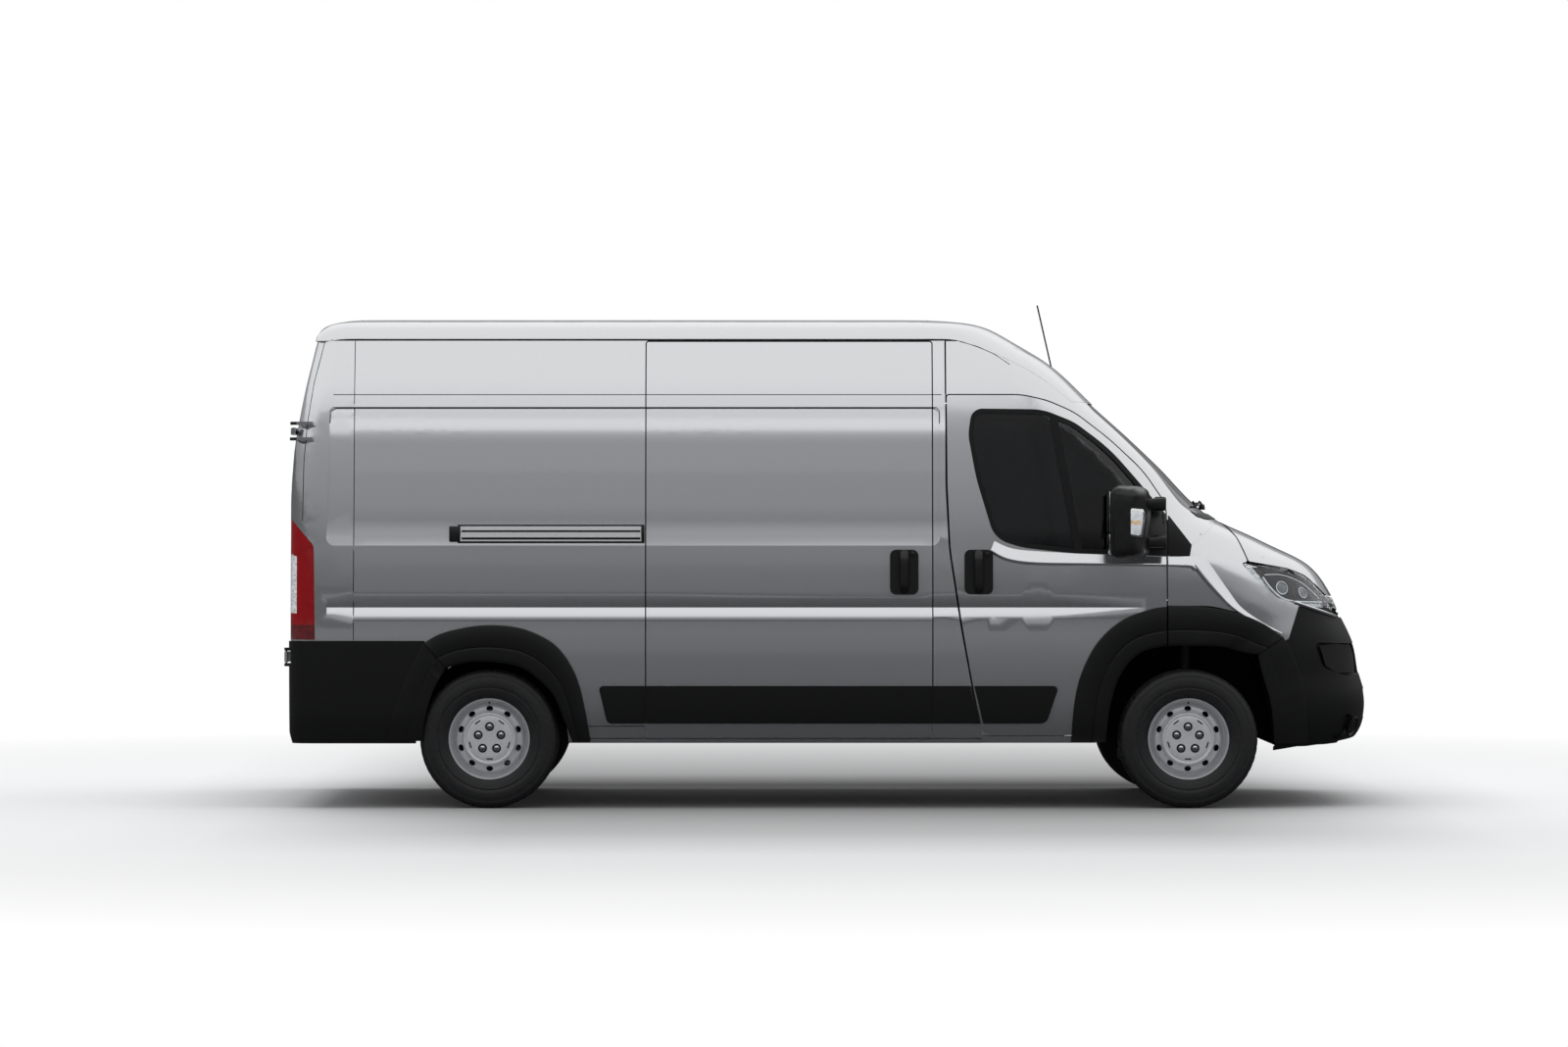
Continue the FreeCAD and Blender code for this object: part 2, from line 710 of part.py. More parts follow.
door_hole = prism_grown(front_door_outline, shut_gap, far_y, -far_y)
roof_room = roof_band(-700.0, 1440.0, gutter_y - 3, -30.0, 41.0)
roof_room = roof_room.cut(box(500, 1500, -1000, 1000, 1500, screen_top_z - 13))
frame = frame.cut([screen_hole, door_hole, roof_room]).cut(pieces["roof"])
keep("cab_frame", frame)
keep("firewall", box(1340, 1365, -560, 560, floor_z + 40 + fit, 1236))

# Bonnet, wings, lamps and bumper
bonnet_outline = [
    (1955.0, 1430.0, 0), (2014.0, 1336.0, 20), (2058.0, 1218.0, 10), (2262.0, 1184.0, 300),
    (2353.0, 1148.0, 100), (2415.0, 1098.0, 100), (2474.0, 1042.0, 60), (2700.0, 1036.0, 0),
    (2700.0, 1500.0, 0), (1955.0, 1500.0, 0),
]
headlamp_outline = [
    (2018.0, 1211.0, 8), (2262.0, 1178.0, 300), (2350.0, 1142.0, 100), (2412.0, 1092.0, 100),
    (2471.0, 1036.0, 60), (2536.0, 1030.0, 4), (2536.0, 976.0, 4), (2475.0, 992.0, 10), (2310.0, 1002.0, 100),
    (2180.0, 1047.0, 120), (2075.0, 1150.0, 200),
]
bumper_outline = [
    (2309.0, 992.0, 6), (2475.0, 985.0, 10), (2545.0, 930.0, 6), (2800.0, 930.0, 0), (2800.0, 100.0, 0),
    (2120.0, 100.0, 0), (2120.0, 700.0, 0), (2130.0, 762.0, 0), (2255.0, 836.0, 0),
]
wing_outline = [
    (door_front_x + 3, 820.0, 0), (door_front_x + 3, 1246.0 - seat, 0), (1760.3, 1246.0 - seat, 0), (1773.4, 1296.8, 0),
    (1905.2, 1403.6, 0), (1944.0, 1421.0, 0), (2008.0, 1334.0, 20), (2052.0, 1214.0, 10),
    (2017.5, 1210.5, 8), (2074.5, 1149.5, 200), (2179.5, 1046.6, 120), (2308.5, 1001.4, 100),
    (2308.4, 992.2, 0), (2254.6, 836.3, 0), (2150.0, 775.0, 0),
]
keep("bonnet", front_shell(850.0, 1520.0, 1500.0, 0.0, 25.0, bonnet_outline))
lamps = front_shell(850.0, 1320.0, 1700.0, 1.0, 60.0, headlamp_outline)
keep("headlamps", lamps.cut(box(1900, 2800, -520, 520, 800, 1300)))
wings = front_shell(700.0, 1520.0, 1450.0, 0.0, 22.0, wing_outline)
arch_cut = prism_grown(arch_outline(front_arch_outer, front_axle_x), 0.5, far_y, -far_y)
keep("front_wings", wings.cut([arch_cut]))
keep("window_corners", both(window_corner.cut([pieces["front_wings"], pieces["cab_frame"]])))
bumper = front_shell(bumper_low_z, 1100.0, 1900.0, 0.0, 30.0, bumper_outline, 0.0)
scoop_outline = [(2388.0, 816.0, 20), (2720.0, 800.0, 0), (2720.0, 655.0, 0), (2560.0, 645.0, 30), (2432.0, 694.0, 60)]
pocket_outer = front_block(bumper_low_z, 1100.0, 1900.0, -8.0)
pocket_inner = front_block(bumper_low_z - 40, 1140.0, 1880.0, 20.0)
pocket_band = pocket_outer.cut(pocket_inner)
fog_lamp_y, fog_lamp_z, fog_lamp_radius = 775.0, 395.0, 62.0
pockets = []
for side in (-1, 1):
    pockets.append(pocket_band.common(prism_xz(scoop_outline, side * 330.0, side * 1200.0)))
    fog = Part.makeCylinder(fog_lamp_radius, 700, Vector(2200, side * fog_lamp_y, fog_lamp_z), Vector(1, 0, 0))
    pockets.append(pocket_band.common(fog))
intake_outline = [(-520.0, 432.0, 30), (520.0, 432.0, 30), (560.0, 575.0, 40), (-560.0, 575.0, 40)]
keep("front_bumper", bumper.cut([front_opening, mirrored(front_opening), box(2400, 2800, -519, 519, 930, 1000),
                                 prism_yz(intake_outline, 2400.0, 2800.0)] + pockets))

# Panel behind the lamps and the bumper, with the radiator, on the ends of the rails
carrier_outer = front_block(720.0, 1320.0, 1950.0, 61.0 + fit, 36.0)
carrier_inner = front_block(700.0, 1340.0, 1900.0, 86.0, 36.0)
lamp_carrier = carrier_outer.common(prism_xz([(2215.0, 832.0, 0), (2700.0, 832.0, 0), (2700.0, 1010.0, 0),
                                              (2215.0, 1150.0, 0)], far_y, -far_y)).cut(carrier_inner)
bumper_beam = front_shell(560.0, 1000.0, 2000.0, 30.0 + fit, 60.0, [(2215.0, 640.0, 0), (2800.0, 640.0, 0),
                                                                   (2800.0, 900.0, 0), (2215.0, 900.0, 0)], 0.0)
horn_room = front_block(380.0, 1000.0, 2000.0, 31.0)
horn = box(2250, 2700, 425, 485, 500 + fit, 800).common(horn_room)
radiator = box(2400, 2440, -430, 430, 420, 860)
keep("front_panel", fused([lamp_carrier, bumper_beam, horn, mirrored(horn), radiator]))
grille_outline = [(2400.0, 932.0, 0), (2700.0, 932.0, 0), (2700.0, 1034.0, 0), (2400.0, 1034.0, 0)]
grille = front_shell(850.0, 1120.0, 2200.0, 12.0, 18.0, grille_outline)
keep("grille", grille.common(box(2200, 2700, -515, 515, 900, 1100)))

# Tail lamps and rear bumper
lamp_outline = [
    (-2900.0, 1418.0, 0), (-2663.0, 1418.0, 4), (-2555.0, 1296.0, 60), (-2548.0, rear_bumper_top_z + 8, 4),
    (-2900.0, rear_bumper_top_z + 8, 0),
]
step_outline = [
    (-2800.0, rear_bumper_top_z, 0), (-2018.0, rear_bumper_top_z, 4), (-1900.0, 700.0, 60),
    (-1900.0, 100.0, 0), (-2800.0, 100.0, 0),
]
tail_lamp = tail_band(760.0, 1500.0, -2400.0, 0.0, 62.0).common(prism_xz(lamp_outline, far_y, -830.0))
corner_pocket = prism_grown(lamp_outline, 0.5, far_y, -829.5)
keep("rear_frame", rear_frame.cut([corner_pocket, mirrored(corner_pocket)]))
keep("tail_lamps", both(tail_lamp))
rear_bumper = tail_band(270.0, 900.0, -2000.0, -8.0, 30.0).common(
    prism_xz(step_outline, far_y, -far_y))
step_room = box(-2900, -2500, -886, 886, rear_sill_z - shut_gap, 900)
hinge_room = box(-2720, -2672, -965, -870, 714.5, 775.5)
keep("rear_bumper", rear_bumper.cut([rear_opening, mirrored(rear_opening), step_room, hinge_room,
                                     mirrored(hinge_room)]))

# Rear door hinges: an eye and strap on each leaf, a pin between two ears on the body
hinge_x, hinge_y, pin_radius, eye_radius = -2696.0, 930.0, 5.0, 10.4
leaf_skin = tail_band(rear_sill_z - 50, gutter_z + 60, -2300.0, -fit, 60.0)
bumper_skin = tail_band(270.0, 900.0, -2000.0, -8.0 - fit, 60.0)
straps = []
pins = []
for z, near in ((745.0, 876.0), (1860.0, 834.0)):
    inner_x = -2691.5 if z < 1000 else -2660.0
    strap = prism_xy([(-2706.0, -hinge_y + 2, 2), (-2706.0, -near + 70, 4), (-2630.0, -near + 70, 0), (-2630.0, -near, 0),
                      (inner_x, -near - 6, 2), (inner_x + 3, -hinge_y + 12, 2), (-2690.0, -hinge_y + 2, 0)], z - 25, z + 25)
    eye = upright(hinge_x, -hinge_y, eye_radius, z - 25, z + 25)
    strap = strap.fuse(eye).cut([leaf_skin, upright(hinge_x, -hinge_y, pin_radius + 0.05, z - 30, z + 30)])
    straps.append(max(strap.Solids, key=lambda one: one.Volume))
    pin = upright(hinge_x, -hinge_y, pin_radius, z - 46, z + 46)
    ears = [pin]
    for low in (z - 46, z + 31):
        ear = prism_xy([(-2706.0, -hinge_y + 8, 4), (-2706.0, -hinge_y - 8, 4), (-2640.0, -1000.0, 0), (-2560.0, -1000.0, 0),
                        (-2560.0, -900.0, 0), (-2640.0, -900.0, 4)], low, low + 15)
        ear = ear.cut(bumper_skin if z < 1000 else leaf_skin)
        ears.append(max(ear.Solids, key=lambda one: -one.BoundBox.XMin))
    pins.append(fused(ears))
pieces["rear_door_right"] = Part.makeCompound([pieces["rear_door_right"]] + straps)
pieces["rear_door_left"] = mirrored(pieces["rear_door_right"])
keep("rear_hinge_pins", Part.makeCompound(pins + [mirrored(one) for one in pins]))

# Floor, rails and wheel boxes
floor = box(-2580, 545, -953.5, 953.5, floor_z, floor_z + 40).fuse(
    [box(545, 1300, -930, 930, floor_z, floor_z + 40), box(1290, 1368, -560, 560, floor_z, floor_z + 40)])
wheel_room = box(rear_axle_x - 430, rear_axle_x + 430, 752, 1100, 0, 760)
rails = [box(-2580, 2350, 420, 490, 400, floor_z)]
rails.append(box(-1200, 1150, 850, 915, sill_low_z + 2, floor_z))
for x in (-2500.0, -1200.0, -400.0, 500.0, 1200.0):
    rails.append(box(x, x + 60, -421, 421, 410, floor_z))
parts_of_floor = [floor] + rails + [mirrored(r) for r in rails[:2]]
floor_pan = fused(parts_of_floor).cut([wheel_room, mirrored(wheel_room)])
tow_holes = []
for x in (tow_bolt_x - tow_bolt_length / 2, tow_bolt_x + tow_bolt_length / 2):
    for y in (-tow_bolt_width / 2, tow_bolt_width / 2):
        tow_holes.append(upright(x, y, tow_hole_radius, 390, 480))
keep("floor_pan", floor_pan.cut(tow_holes))
liner_wall = 6.0
front_room = prism_grown(arch_outline(front_arch_inner, front_axle_x), 2.0, -900.0, -570.0)
front_liner = prism_grown(arch_outline(front_arch_inner, front_axle_x), 2.0 + liner_wall, -900.0, -564.0)
front_liner = front_liner.cut(front_room).cut(box(0, 3000, -1200, 0, -200, 330))
rear_room = prism_grown(arch_outline(rear_arch_inner, rear_axle_x), 2.0, -925.0, -759.0)
rear_liner = prism_grown(arch_outline(rear_arch_inner, rear_axle_x), 2.0 + liner_wall, -925.0, -753.0)
rear_liner = rear_liner.cut(rear_room).cut(box(-3000, 0, -1200, 0, -200, 400))
keep("arch_liners", Part.makeCompound([front_liner, rear_liner, mirrored(front_liner), mirrored(rear_liner)]))

# Bulkhead behind the seats
bulkhead_points = [(-section_y(z) + wall + 5, z, 0) for z in (542.0, 1300.0, 1977.0, 2250.0)]
bulkhead_points += [(-740.0, 2335.0, 0)]
bulkhead_points += [(-u, v, 0) for u, v, r in bulkhead_points[::-1]]
keep("bulkhead", prism_yz(bulkhead_points, 500.0, 524.0))

# Black mouldings on the body
def proud(corners, x0, x1, z0, z1):
    band = side_band(x0, x1, z0, z1, -moulding_proud, -fit)
    return band.common(prism_xz(corners, far_y, 0))


strip_rear = proud([(-1152.0, strip_top_z, 20), (-1108.0, strip_low_z, 30), (-924.0, strip_low_z, 2),
                    (-924.0, strip_top_z, 2)], -1300.0, -800.0, 300.0, 700.0)
strip_slider = proud([(slider_rear_x + 2, strip_top_z, 2), (slider_rear_x + 2, strip_low_z, 2),
                      (slider_front_x - 2, strip_low_z, 2), (slider_front_x - 2, strip_top_z, 2)],
                     -1000.0, 600.0, 300.0, 700.0)
strip_pillar = proud([(slider_front_x + 8, strip_top_z, 2), (slider_front_x + 8, strip_low_z, 2),
                      (722.0, strip_low_z, 2), (678.0, strip_top_z, 2)], 400.0, 800.0, 300.0, 700.0)
strip_door = proud([(700.0, strip_top_z, 2), (744.0, strip_low_z, 2), (1055.0, strip_low_z, 40),
                    (1118.0, strip_top_z, 20)], 600.0, 1200.0, 300.0, 700.0)
full_strip = proud([(-1152.0, strip_top_z, 20), (-1108.0, strip_low_z, 30), (722.0, strip_low_z, 2),
                    (678.0, strip_top_z, 2)], -1300.0, 900.0, 300.0, 700.0)
rear_trim = side_band(-2350.0, -1000.0, 240.0, 1000.0, -arch_proud, -fit).common(
    prism_xz(arch_outline(rear_arch_outer, rear_axle_x), far_y, 0))
rear_trim = rear_trim.cut([rear_opening, pieces["side_wall_right"], box(-3000, 0, far_y, 0, -500, sill_low_z - 4),
                           prism_grown(step_outline, 2.0, far_y, 0)])
front_trim = side_band(1000.0, 2400.0, 240.0, 1100.0, -arch_proud, -fit).common(
    prism_xz(arch_outline(front_arch_outer, front_axle_x), far_y, 0))
front_trim = front_trim.cut([front_opening, box(0, 3000, far_y, 0, -500, sill_low_z - 4)])
door_trim = front_trim.common(prism_xz(front_door_outline, far_y, 0))
body_trim = front_trim.cut([prism_grown(front_door_outline, shut_gap, far_y, 0),
                            prism_grown(bumper_outline, 2.0, far_y, 0)])
keep("body_mouldings", Part.makeCompound([strip_rear, strip_pillar, mirrored(full_strip), rear_trim,
                                          mirrored(rear_trim), body_trim, mirrored(body_trim)]))


def handle(x, z):
    band = side_band(x - 250.0, x + 250.0, z - 300.0, z + 300.0, -22.0, -fit, 50.0, 50.0)
    corners = [(x - 70, z - 110, 30), (x + 70, z - 110, 30), (x + 70, z + 110, 30), (x - 70, z + 110, 30)]
    return band.common(prism_xz(corners, far_y, 0))


keep("sliding_door_trim", Part.makeCompound([strip_slider, handle(355.0, 1165.0)]))
keep("front_door_trim_right", Part.makeCompound([strip_door, door_trim, handle(722.0, 1165.0)]))
keep("front_door_trim_left", mirrored(pieces["front_door_trim_right"]))
rail = side_band(-2000.0, -700.0, 1200.0, 1500.0, -14.0, recess_depth - fit).common(prism_xz(
    [(-1875.0, rail_low_z, 10), (slider_rear_x - 9, rail_low_z, 4), (slider_rear_x - 9, rail_top_z, 4),
     (-1875.0, rail_top_z, 10)], far_y, 0))
keep("slide_rail", rail.cut(pieces["side_wall_right"]))

# Door mirrors
head_side = prism_xz([(1352.0, 1244.0, 30), (1435.0, 1228.0, 30), (1556.0, 1246.0, 60), (1563.0, 1566.0, 70),
                      (1440.0, 1594.0, 50), (1356.0, 1572.0, 30)], -1330.0, -1085.0)
head_plan = prism_xy([(1350.0, -1092.0, 25), (1350.0, -1296.0, 30), (1440.0, -1322.0, 50), (1540.0, -1270.0, 70),
                      (1566.0, -1150.0, 60), (1540.0, -1092.0, 30)], 1200.0, 1620.0)
arm_room = side_band(1400.0, 1760.0, 1150.0, 1600.0, -1.8, 60.0)
mirror_arms = [box(1530, 1634, -1130, -900, z, z + 42).cut(arm_room) for z in (1290.0, 1478.0)]
mirror_arms = [max(arm.Solids, key=lambda one: -one.CenterOfMass.y) for arm in mirror_arms]
keep("door_mirror_right", fused([head_side.common(head_plan)] + mirror_arms))
keep("door_mirror_left", mirrored(pieces["door_mirror_right"]))

# Wipers and antenna
foot_x = 1134.0
foot = Vector(foot_x, 0, roof_z(foot_x, 0))
slope = Vector(2.0, 0, roof_z(foot_x + 1, 0) - roof_z(foot_x - 1, 0))
lift = Vector(-slope.z, 0, slope.x)
lift.normalize()
keep("antenna", fused([rod(foot + lift * 0.6, foot + lift * 14, 13.0),
                       rod(foot + lift * 8, Vector(1065, 0, 2520), 4.0)]))

# Cab inside
keep("dashboard", box(1300, 1339.7, -870, 870, 900, 1235).fuse(box(1160, 1301, -860, 860, 900, 1180)))
seat = fused([box(640, 1140, 250, 740, 640, 800), box(640, 790, 250, 740, 780, 1480),
              box(700, 1080, 290, 700, 541, 641)])
keep("seats", both(seat))
wheel_ring = Part.makeTorus(190, 16, Vector(1030, 450, 1160), Vector(-0.8, 0, 0.6))
column = rod(Vector(1030, 450, 1160), Vector(1146, 450, 1073), 22.0)
spoke = rod(Vector(1030, 270, 1160), Vector(1030, 630, 1160), 12.0)
keep("steering_wheel", fused([wheel_ring, column, spoke]))

# Engine, subframe, axle and what hangs below
keep("engine_block", box(1600, 2150, -410, 410, 420, 1000))
arm = prism_xy([(1560.0, 350.0, 10), (1735.0, 790.0, 20), (1785.0, 790.0, 20), (1960.0, 350.0, 10)], 195, 226 - fit)
frame_bar = box(1500, 2010, -360, 360, 190, 240)
strut = upright(front_axle_x, kingpin_y - 35, 26, 470 + fit, 807.2)
subframe = fused([frame_bar, arm, mirrored(arm), box(1560, 1960, 425, 485, 190, 399),
                  mirrored(box(1560, 1960, 425, 485, 190, 399)), box(1560, 1640, -430, 430, 190, 240)])
keep("front_subframe", Part.makeCompound([subframe, strut, mirrored(strut)]))
beam = across(rear_axle_x, tyre_radius, 42, -760, 760)
stubs = [across(rear_axle_x, tyre_radius, stub_radius, 740, 905)]
leaf = prism_xz([(-2310.0, 370.0, 0), (rear_axle_x, 255.0, 900), (-1080.0, 370.0, 0), (-1080.0, 399.7, 0),
                 (-1140.0, 399.7, 0), (rear_axle_x, 303.0, 900), (-2250.0, 399.7, 0), (-2310.0, 399.7, 0)],
                430, 480)
keep("rear_axle", fused([beam, stubs[0], mirrored(stubs[0]), leaf, mirrored(leaf)]))
keep("fuel_tank", box(-400, 560, -400, 400, 250, 409.7))
keep("exhaust", fused([rod(Vector(1290, 650, 330), Vector(-1200, 650, 330), 28),
                       Part.makeCylinder(80, 500, Vector(-300, 650, 380), Vector(1, 0, 0)),
                       box(-60, -40, 640, 660, 420, floor_z - fit), box(1150, 1170, 640, 660, 340, floor_z - fit),
                       box(-1190, -1170, 640, 660, 340, floor_z - fit)]))


# Wheels, as turned profiles of (radius, distance from the wheel's middle plane)
def turned(profile, x, y, z):
    points = [Vector(r, v, 0) for r, v in profile]
    face = Part.Face(Part.makePolygon(points + points[:1]))
    solid = face.revolve(Vector(0, 0, 0), Vector(0, 1, 0), 360)
    if solid.Volume < 0:
        solid.reverse()
    solid.translate(Vector(x, y, z))
    return solid


vent_circle = 146.0
half_tyre = tyre_width / 2
half_rim = rim_width / 2
tyre_profile = [
    (190.0, -half_rim + 8), (rim_radius - 8, -half_rim), (rim_radius + 6, -half_rim - 6),
    (260.0, -half_tyre), (300.0, -half_tyre + 4), (328.0, -half_tyre + 18), (tyre_radius, -half_tyre + 32),
    (tyre_radius, half_tyre - 32), (328.0, half_tyre - 18), (300.0, half_tyre - 4), (260.0, half_tyre),
    (rim_radius + 6, half_rim + 6), (rim_radius - 8, half_rim), (190.0, half_rim - 8),
]
rim_profile = [
    (hub_bore, -20.0), (75.0, -20.0), (75.0, 40.0), (150.0, 30.0), (165.0, 20.0), (178.0, -60.0),
    (190.0, -half_rim + 8), (190.0, half_rim - 8),
    (178.0, half_rim - 30), (172.0, 36.0), (150.0, 42.0), (110.0, 55.0), (hub_bore, 55.0),
]
wheels = {
    "front_right": (front_axle_x, -front_track / 2), "front_left": (front_axle_x, front_track / 2),
    "rear_right": (rear_axle_x, -rear_track / 2), "rear_left": (rear_axle_x, rear_track / 2),
}
for corner_name, (x, y) in wheels.items():
    tyre = turned(tyre_profile, x, abs(y), tyre_radius)
    rim = turned(rim_profile, x, abs(y), tyre_radius)
    vents = []
    for i in range(10):
        angle = math.radians(36 * i)
        vents.append(across(x + vent_circle * math.sin(angle), tyre_radius + vent_circle * math.cos(angle), 14.0,
                            abs(y) - 10, abs(y) + 80))
    rim = rim.cut(vents)
    if y < 0:
        tyre = mirrored(tyre)
        rim = mirrored(rim)
    keep("tyre_" + corner_name, tyre)
    keep("rim_" + corner_name, rim)

knuckle = fused([upright(front_axle_x, kingpin_y - 35, 32, 226, 470),
                 across(front_axle_x, tyre_radius, stub_radius, kingpin_y - 40, front_track / 2 + 40)])
keep("knuckle_left", knuckle)
keep("knuckle_right", mirrored(knuckle))

os.makedirs("parts", exist_ok=True)
for name, shape in pieces.items():
    shape.exportStep("parts/" + name + ".step")
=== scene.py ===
import json
import math
import bmesh
import bpy
from mathutils import Matrix, Vector
from mathutils.bvhtree import BVHTree


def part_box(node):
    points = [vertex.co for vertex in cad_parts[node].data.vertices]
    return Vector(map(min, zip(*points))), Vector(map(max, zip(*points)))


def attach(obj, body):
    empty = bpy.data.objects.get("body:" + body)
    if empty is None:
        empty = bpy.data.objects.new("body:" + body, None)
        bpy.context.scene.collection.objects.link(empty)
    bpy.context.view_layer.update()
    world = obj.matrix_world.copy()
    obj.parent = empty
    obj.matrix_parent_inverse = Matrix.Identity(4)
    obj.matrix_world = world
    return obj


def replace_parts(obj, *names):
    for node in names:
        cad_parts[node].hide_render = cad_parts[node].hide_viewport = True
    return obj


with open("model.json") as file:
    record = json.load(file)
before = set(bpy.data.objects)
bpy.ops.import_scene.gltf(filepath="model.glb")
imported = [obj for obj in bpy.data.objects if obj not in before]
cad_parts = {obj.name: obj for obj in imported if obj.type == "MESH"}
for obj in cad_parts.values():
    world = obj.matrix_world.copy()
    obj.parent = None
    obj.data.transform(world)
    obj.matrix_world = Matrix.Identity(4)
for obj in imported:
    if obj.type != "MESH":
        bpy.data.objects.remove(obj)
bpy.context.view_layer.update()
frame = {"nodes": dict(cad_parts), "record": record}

nodes = frame["nodes"]
bodies = frame["record"]["behaviour"]["bodies"]
body_of_node = {node: body for body, members in bodies.items() for node in members}

# Sizes read off the photograph, in metres
wheel_radius = 0.3415
front_axle_x = 1.7585
rear_axle_x = -1.6915
front_wheel_y = 0.905
rear_wheel_y = 0.895
door_front_x = 1.6475  # front edge of the cab doors
wing_back_x = 1.6545  # edge of the wings behind their shut gap
near_side_y = 1.05  # just outside the van's side
outside_y = 1.5  # clear of the van's side, where a look at it starts
ahead_x = 3.2  # clear of the van's nose
above_z = 2.6  # clear of its roof
merge_gap = 0.00001  # apart at which points count as one

noise, cells, wave = "ShaderNodeTexNoise", "ShaderNodeTexVoronoi", "ShaderNodeTexWave"


def colour(code):
    """Linear colour from an sRGB hex value."""
    parts = [int(code[i:i + 2], 16) / 255 for i in (1, 3, 5)]
    return [c / 12.92 if c <= 0.04045 else ((c + 0.055) / 1.055) ** 2.4 for c in parts] + [1.0]


def add(tree, kind, settings=None, wires=None):
    """Adds one node, sets its values and links its inputs from (node, output) pairs."""
    node = tree.nodes.new(kind)
    for key, value in (settings or {}).items():
        if isinstance(key, int) or key in node.inputs:
            node.inputs[key].default_value = value
        else:
            setattr(node, key, value)
    for key, (source, output) in (wires or {}).items():
        tree.links.new(source.outputs[output], node.inputs[key])
    return node


def ramp(tree, source, stops):
    """Colour ramp over a node's first output, through (position, colour) stops."""
    node = add(tree, "ShaderNodeValToRGB", None, {"Fac": (source, 0)})
    node.color_ramp.elements[0].position, node.color_ramp.elements[0].color = stops[0]
    node.color_ramp.elements[1].position, node.color_ramp.elements[1].color = stops[-1]
    for position, shade in stops[1:-1]:
        node.color_ramp.elements.new(position).color = shade
    return node


def finish(slot, name, base, dark, light, size, rough=None, relief=0.0, detail=2.0, kind=noise, **values):
    """Principled material, whose slot argument is not used: one pattern, of a size in mm, varies its colour,
    its roughness between two values, and its relief in mm."""
    made = bpy.data.materials.new(name)
    made.use_nodes = True
    tree = made.node_tree
    shader = tree.nodes["Principled BSDF"]
    shader.inputs["Base Color"].default_value = colour(base)
    for key, value in values.items():
        shader.inputs[key.replace("_", " ")].default_value = value
    made.diffuse_color = colour(base)
    place = add(tree, "ShaderNodeTexCoord")
    pattern = add(tree, kind, {"Scale": 1000.0 / size}, {"Vector": (place, "Object")})
    if kind != cells:
        pattern.inputs["Detail"].default_value = detail
    if kind == wave:
        pattern.inputs["Distortion"].default_value = 1.5
    shades = ramp(tree, pattern, [(0.3, colour(dark)), (0.7, colour(light))])
    tree.links.new(shades.outputs["Color"], shader.inputs["Base Color"])
    if rough:
        spread = add(tree, "ShaderNodeMapRange", {"To Min": rough[0], "To Max": rough[1]},
                     {"Value": (pattern, 0)})
        tree.links.new(spread.outputs["Result"], shader.inputs["Roughness"])
    if relief:
        bump = add(tree, "ShaderNodeBump", {"Strength": 1.0, "Distance": relief / 1000},
                   {"Height": (pattern, 0)})
        tree.links.new(bump.outputs["Normal"], shader.inputs["Normal"])
    return made


# Silver metallic lacquer: aluminium flake, drawn larger than it is so that it shows, under a sharp clear coat
silver_lacquer = finish("body_paint", "silver_metallic_lacquer", "#d6d8da", "#d5d7d9", "#d8dadc", 6.0,
                        (0.125, 0.135), detail=3.0, Metallic=0.9, Roughness=0.16, Coat_Weight=0.5,
                        Coat_Roughness=0.03)
# Polypropylene, black through and through, with the fine leather grain of bumpers and strips
grained_black = finish("black_plastic", "grained_black_polypropylene", "#131415", "#0b0c0d", "#121314", 3.0,
                       (0.42, 0.58), 0.12, 4.0, Roughness=0.5, IOR=1.49, Specular_IOR_Level=0.25)
# Smooth black ABS: mirror heads, handles and lamp bodies, a little glossier
smooth_black = finish("black_plastic", "smooth_black_abs", "#0e0f10", "#0c0d0e", "#121314", 40.0,
                      (0.28, 0.38), 0.02, 3.0, Roughness=0.3, IOR=1.53, Specular_IOR_Level=0.4)
# EPDM rubber seals: dull and soft black
seal_rubber = finish("tyre", "epdm_seal_rubber", "#101112", "#0e0f10", "#161718", 12.0, (0.62, 0.8), 0.05,
                     4.0, Roughness=0.7, IOR=1.5)
# Tinted laminated glass: green-grey through its body, polished
tinted_glass = finish("dark_glass", "tinted_laminated_glass", "#34383a", "#303438", "#383c3e", 60.0,
                      detail=4.0, Roughness=0.0, IOR=1.52, Transmission_Weight=1.0)
# Tyre rubber: carbon black compound, brown-grey and dull, with moulding marks
tyre_rubber = finish("tyre", "carbon_black_tyre_rubber", "#18191b", "#141517", "#1e1f21", 18.0, (0.50, 0.64),
                     0.10, 6.0, Roughness=0.75, IOR=1.52, Specular_IOR_Level=0.4)
# Silver enamel on pressed steel: satin, no clear coat
wheel_enamel = finish("wheel_silver", "silver_wheel_enamel", "#d2d4d6", "#cccdcf", "#d8dadc", 5.0,
                      (0.36, 0.48), 0.03, Metallic=0.35, Roughness=0.4)
# Chassis black: cathodic dip over steel, semi-matt with dust
chassis_black = finish("steel_dark", "dip_coated_chassis_steel", "#141516", "#101112", "#1b1c1d", 30.0,
                       (0.5, 0.72), 0.1, 5.0, Roughness=0.6, IOR=1.5, Specular_IOR_Level=0.3)
# Needled felt of the wheel arch liners
liner_felt = finish("liner_black", "needled_liner_felt", "#0a0a0b", "#070708", "#0f1011", 2.5, (0.88, 1.0),
                    0.4, 6.0, Roughness=0.95, Specular_IOR_Level=0.1)
# Cab plastics: grey grained polypropylene
cab_plastic = finish("cab_grey", "grained_grey_cab_plastic", "#3a3c3f", "#35373a", "#404245", 2.0,
                     (0.52, 0.68), 0.1, kind=cells, Roughness=0.6, IOR=1.49)
# Woven seat cloth: dark blue-grey flat weave
weave_size = 1000 / 60
seat_cloth = finish("seat_cloth", "flat_woven_seat_cloth", "#2b2e33", "#24272c", "#353940", weave_size,
                    (0.9, 1.0), 0.6, kind=wave, Roughness=0.95, Sheen_Weight=0.3)
# Anodised aluminium of the side rail: fine drawn satin
anodised = finish("rail_silver", "anodised_drawn_aluminium", "#e2e3e4", "#dcdddf", "#e8e9ea", 4.0,
                  (0.26, 0.36), 0.01, Metallic=0.6, Roughness=0.3)
